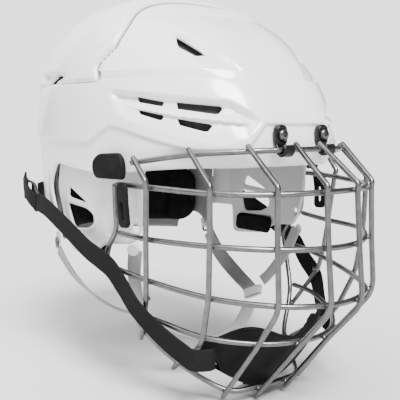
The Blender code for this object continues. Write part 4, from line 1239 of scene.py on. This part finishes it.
def add_straps():
    for side, word in SIDES:
        def at(x, y, z, side=side):
            return (side * x, y, z)
        keys = [(at(99.5, 62.0, -48.5), at(1, 0.25, 0)), (at(102.0, 42.0, -51.5), at(1, 0.15, 0)),
                (at(102.5, 5.0, -65.0), at(1, 0, 0)), (at(101.5, -20.0, -76.0), at(1, 0, 0)),
                (at(99.5, -36.0, -82.0), at(1, -0.1, 0)), (at(97.0, -48.0, -88.0), at(1, -0.1, 0)),
                (at(94.5, -60.0, -100.0), at(1, -0.15, -0.1)), (at(93.0, -75.0, -113.5), at(1, -0.15, -0.15)),
                (at(83.0, -90.0, -130.5), at(1, -0.3, -0.15)), (at(74.0, -103.0, -142.0), at(1, -0.4, -0.1)),
                (at(71.5, -113.0, -145.5), at(0.85, -0.5, 0)), (at(63.5, -121.0, -145.0), at(0.6, -0.8, 0)),
                (at(58.0, -120.5, -145.0), at(0.3, -0.95, 0))]
        add_strap(f"cage_strap_{word}_webbing", f"cage_strap_{word}", keys, CAGE_STRAP_WIDTH,
                  BLACK_WEBBING, "cage")
        add_buckle(side, word)
        keys = [(at(83.5, -60.5, -73.0), at(1, -0.3, 0)), (at(80.0, -53.0, -92.0), at(1, -0.3, 0)),
                (at(71.0, -42.0, -113.0), at(1, -0.3, -0.2)), (at(66.0, -36.5, -121.0), at(1, -0.2, -0.4))]
        add_strap(f"chin_strap_front_{word}_webbing", f"chin_strap_front_{word}", keys,
                  CHIN_STRAP_WIDTH, GREY_WEBBING, "helmet")
        keys = [(at(83.0, 60.0, -90.0), at(1, 0.3, 0)), (at(80.5, 40.0, -108.0), at(1, 0.2, -0.4)),
                (at(76.0, 10.0, -123.0), at(0.7, 0, -1)), (at(69.5, -14.0, -130.0), at(0.4, 0, -1)),
                (at(62.5, -26.0, -132.0), at(0.3, 0, -1))]
        add_strap(f"chin_strap_rear_{word}_webbing", f"chin_strap_rear_{word}", keys,
                  CHIN_STRAP_WIDTH, GREY_WEBBING, "helmet")
        add_keeper(side, word)
        snap = [(0.6, -0.6), (4.4, -0.6), (5.4, 0.0), (5.5, 0.7), (5.0, 1.3), (3.4, 1.7), (2.9, 1.5),
                (2.5, 1.1), (1.2, 1.05), (0.5, 1.3)]
        piece = lathe(f"chin_snap_{word}_cap", snap, at(85.3, -61.0, -73.5), at(1, -0.35, 0), squash=0.8)
        place_piece(piece, SATIN_WHITE, "helmet", (f"chin_snap_{word}",))
        add_hook(side, word)
    half = [((50.0, -38.5, -138.5), (0.5, 0, -1)), ((30.0, -48.0, -150.5), (0.3, 0, -1))]
    flip = [((-p[0], p[1], p[2]), (-n[0], n[1], n[2])) for p, n in half]
    keys = half + [((0.0, -56.0, -156.5), (0, 0, -1))] + flip[::-1]
    add_strap("chin_strap_under_webbing", "chin_strap_under", keys, CHIN_STRAP_WIDTH, GREY_WEBBING,
              "helmet")
    keys = []
    for degrees in range(131, 230, 14):
        place = surface(np.array(math.radians(degrees)), np.array(REAR_STRAP_HEIGHT), REAR_STRAP_STANDOFF)
        keys.append((place, (place[0], place[1] * 0.7, 0.0)))
    add_strap("rear_strap_webbing", "rear_strap", keys, CAGE_STRAP_WIDTH, BLACK_WEBBING, "rear_half")


def add_keeper(side, word):
    """A flat ring round the meeting chin straps."""
    forward = unit(np.array((-0.6 * side, -0.6, -0.6)))
    across = unit(np.cross((0.7 * side, 0.0, -0.7), forward))
    out = np.cross(forward, across)
    middle = np.array((side * 58.5, -33.0, -130.5))
    keys = []
    for a, b, na, nb in ((-7.6, -1.2, -1, -1), (-7.6, 1.2, -1, 1), (-4.0, 1.9, 0, 1), (4.0, 1.9, 0, 1),
                         (7.6, 1.2, 1, 1), (7.6, -1.2, 1, -1), (4.0, -1.9, 0, -1), (-4.0, -1.9, 0, -1)):
        keys.append((middle + across * a + out * b, across * na + out * nb))
    piece = ribbon(f"strap_loop_{word}_ring", keys, 9.0, 1.4, per_span=6, closed=True)
    place_piece(piece, SATIN_WHITE, "helmet", (f"strap_loop_{word}",))


def add_hook(side, word):
    """The rear strap's anchor: a small plate with a wire ring."""
    place = flat_place((side * 82.8, 63.0, -81.8), (0.0, -0.3, -1.0), (side, 0.4, 0.0))

    def measure(u, v):
        return np.minimum(rounded_box(u + 1.5, v, 5.0, 5.0, 2.2), np.hypot(u + 2.6, v) - 1.5)
    piece = sheet(f"strap_hook_{word}_plate", steps(-6.5, 3.5, 0.4), steps(-5.0, 5.0, 0.4),
                  measure, place, 2.4, 0.8)
    place_piece(piece, SATIN_WHITE, "helmet", (f"strap_hook_{word}",))
    ring = np.array([(-1.0, -4.0), (-1.0, 4.0), (1.5, 5.2), (5.0, 5.2), (6.4, 3.6), (6.4, -3.6),
                     (5.0, -5.2), (1.5, -5.2)])
    path = catmull(list(place(ring[:, 0], ring[:, 1], np.full(8, 0.6))), 5, closed=True)
    wire = tube(f"strap_hook_{word}_wire", path, 1.1, 12, closed=True)
    place_piece(wire, STEEL, "helmet", ())


add_liners()
add_pads()
add_occipital_frame()
add_ear_guards()
add_cage()
add_end_caps()
add_front_clips()
add_chin_cup()
add_straps()

# ---------------------------------------------------------------- stage, light and camera

def add_sun(name, towards, strength, spread):
    """A far, wide light, so that the floor is evenly lit; towards is where it comes from."""
    light = bpy.data.lights.new(name, "SUN")
    light.energy = strength
    light.angle = math.radians(spread)
    obj = bpy.data.objects.new(name, light)
    obj.rotation_euler = Vector(towards).to_track_quat("Z", "Y").to_euler()
    bpy.context.scene.collection.objects.link(obj)


AMBIENT = 0.26
BACKGROUND = 2.3
FLOOR = -187.6


def add_stage():
    floor = new_mesh("floor", [(-6000, -6000, FLOOR), (6000, -6000, FLOOR), (6000, 6000, FLOOR),
                               (-6000, 6000, FLOOR)], [(0, 1, 2, 3)])
    floor.data.materials.append(floor_paper())
    world = bpy.data.worlds.new("studio")
    world.use_nodes = True
    tree = world.node_tree
    sky = tree.nodes["Background"]
    seen = tree.nodes.new("ShaderNodeBackground")
    mix = tree.nodes.new("ShaderNodeMixShader")
    ray = tree.nodes.new("ShaderNodeLightPath")
    sky.inputs["Color"].default_value = (1.0, 1.0, 1.0, 1.0)
    sky.inputs["Strength"].default_value = AMBIENT
    seen.inputs["Color"].default_value = (1.0, 1.0, 1.0, 1.0)
    seen.inputs["Strength"].default_value = BACKGROUND
    tree.links.new(ray.outputs["Is Camera Ray"], mix.inputs["Fac"])
    tree.links.new(sky.outputs["Background"], mix.inputs[1])
    tree.links.new(seen.outputs["Background"], mix.inputs[2])
    tree.links.new(mix.outputs["Shader"], tree.nodes["World Output"].inputs["Surface"])
    bpy.context.scene.world = world
    add_sun("key", (-0.35, -0.85, 1.1), 9.4, 24.0)
    add_sun("top", (-0.4, 0.25, 1.0), 3.2, 60.0)
    add_sun("fill", (-0.9, -0.4, 0.15), 0.7, 60.0)
    add_sun("rear_fill", (0.3, 1.0, 0.5), 1.7, 60.0)


def add_camera():
    camera = bpy.data.cameras.new("camera")
    camera.sensor_width = 36.0
    camera.lens = 65.25
    camera.clip_start, camera.clip_end = 0.01, 50.0
    obj = bpy.data.objects.new("camera", camera)
    forward = Vector((0.61775, 0.77940, -0.10453))
    right = Vector((0.78369, -0.62115, 0.0))
    up = right.cross(forward)
    turn = Matrix((right, up, -forward)).transposed().to_4x4()
    obj.matrix_world = Matrix.Translation(Vector((-371.0, -499.05, 17.63)) * MM) @ turn
    bpy.context.scene.collection.objects.link(obj)
    bpy.context.scene.camera = obj


add_stage()
add_camera()
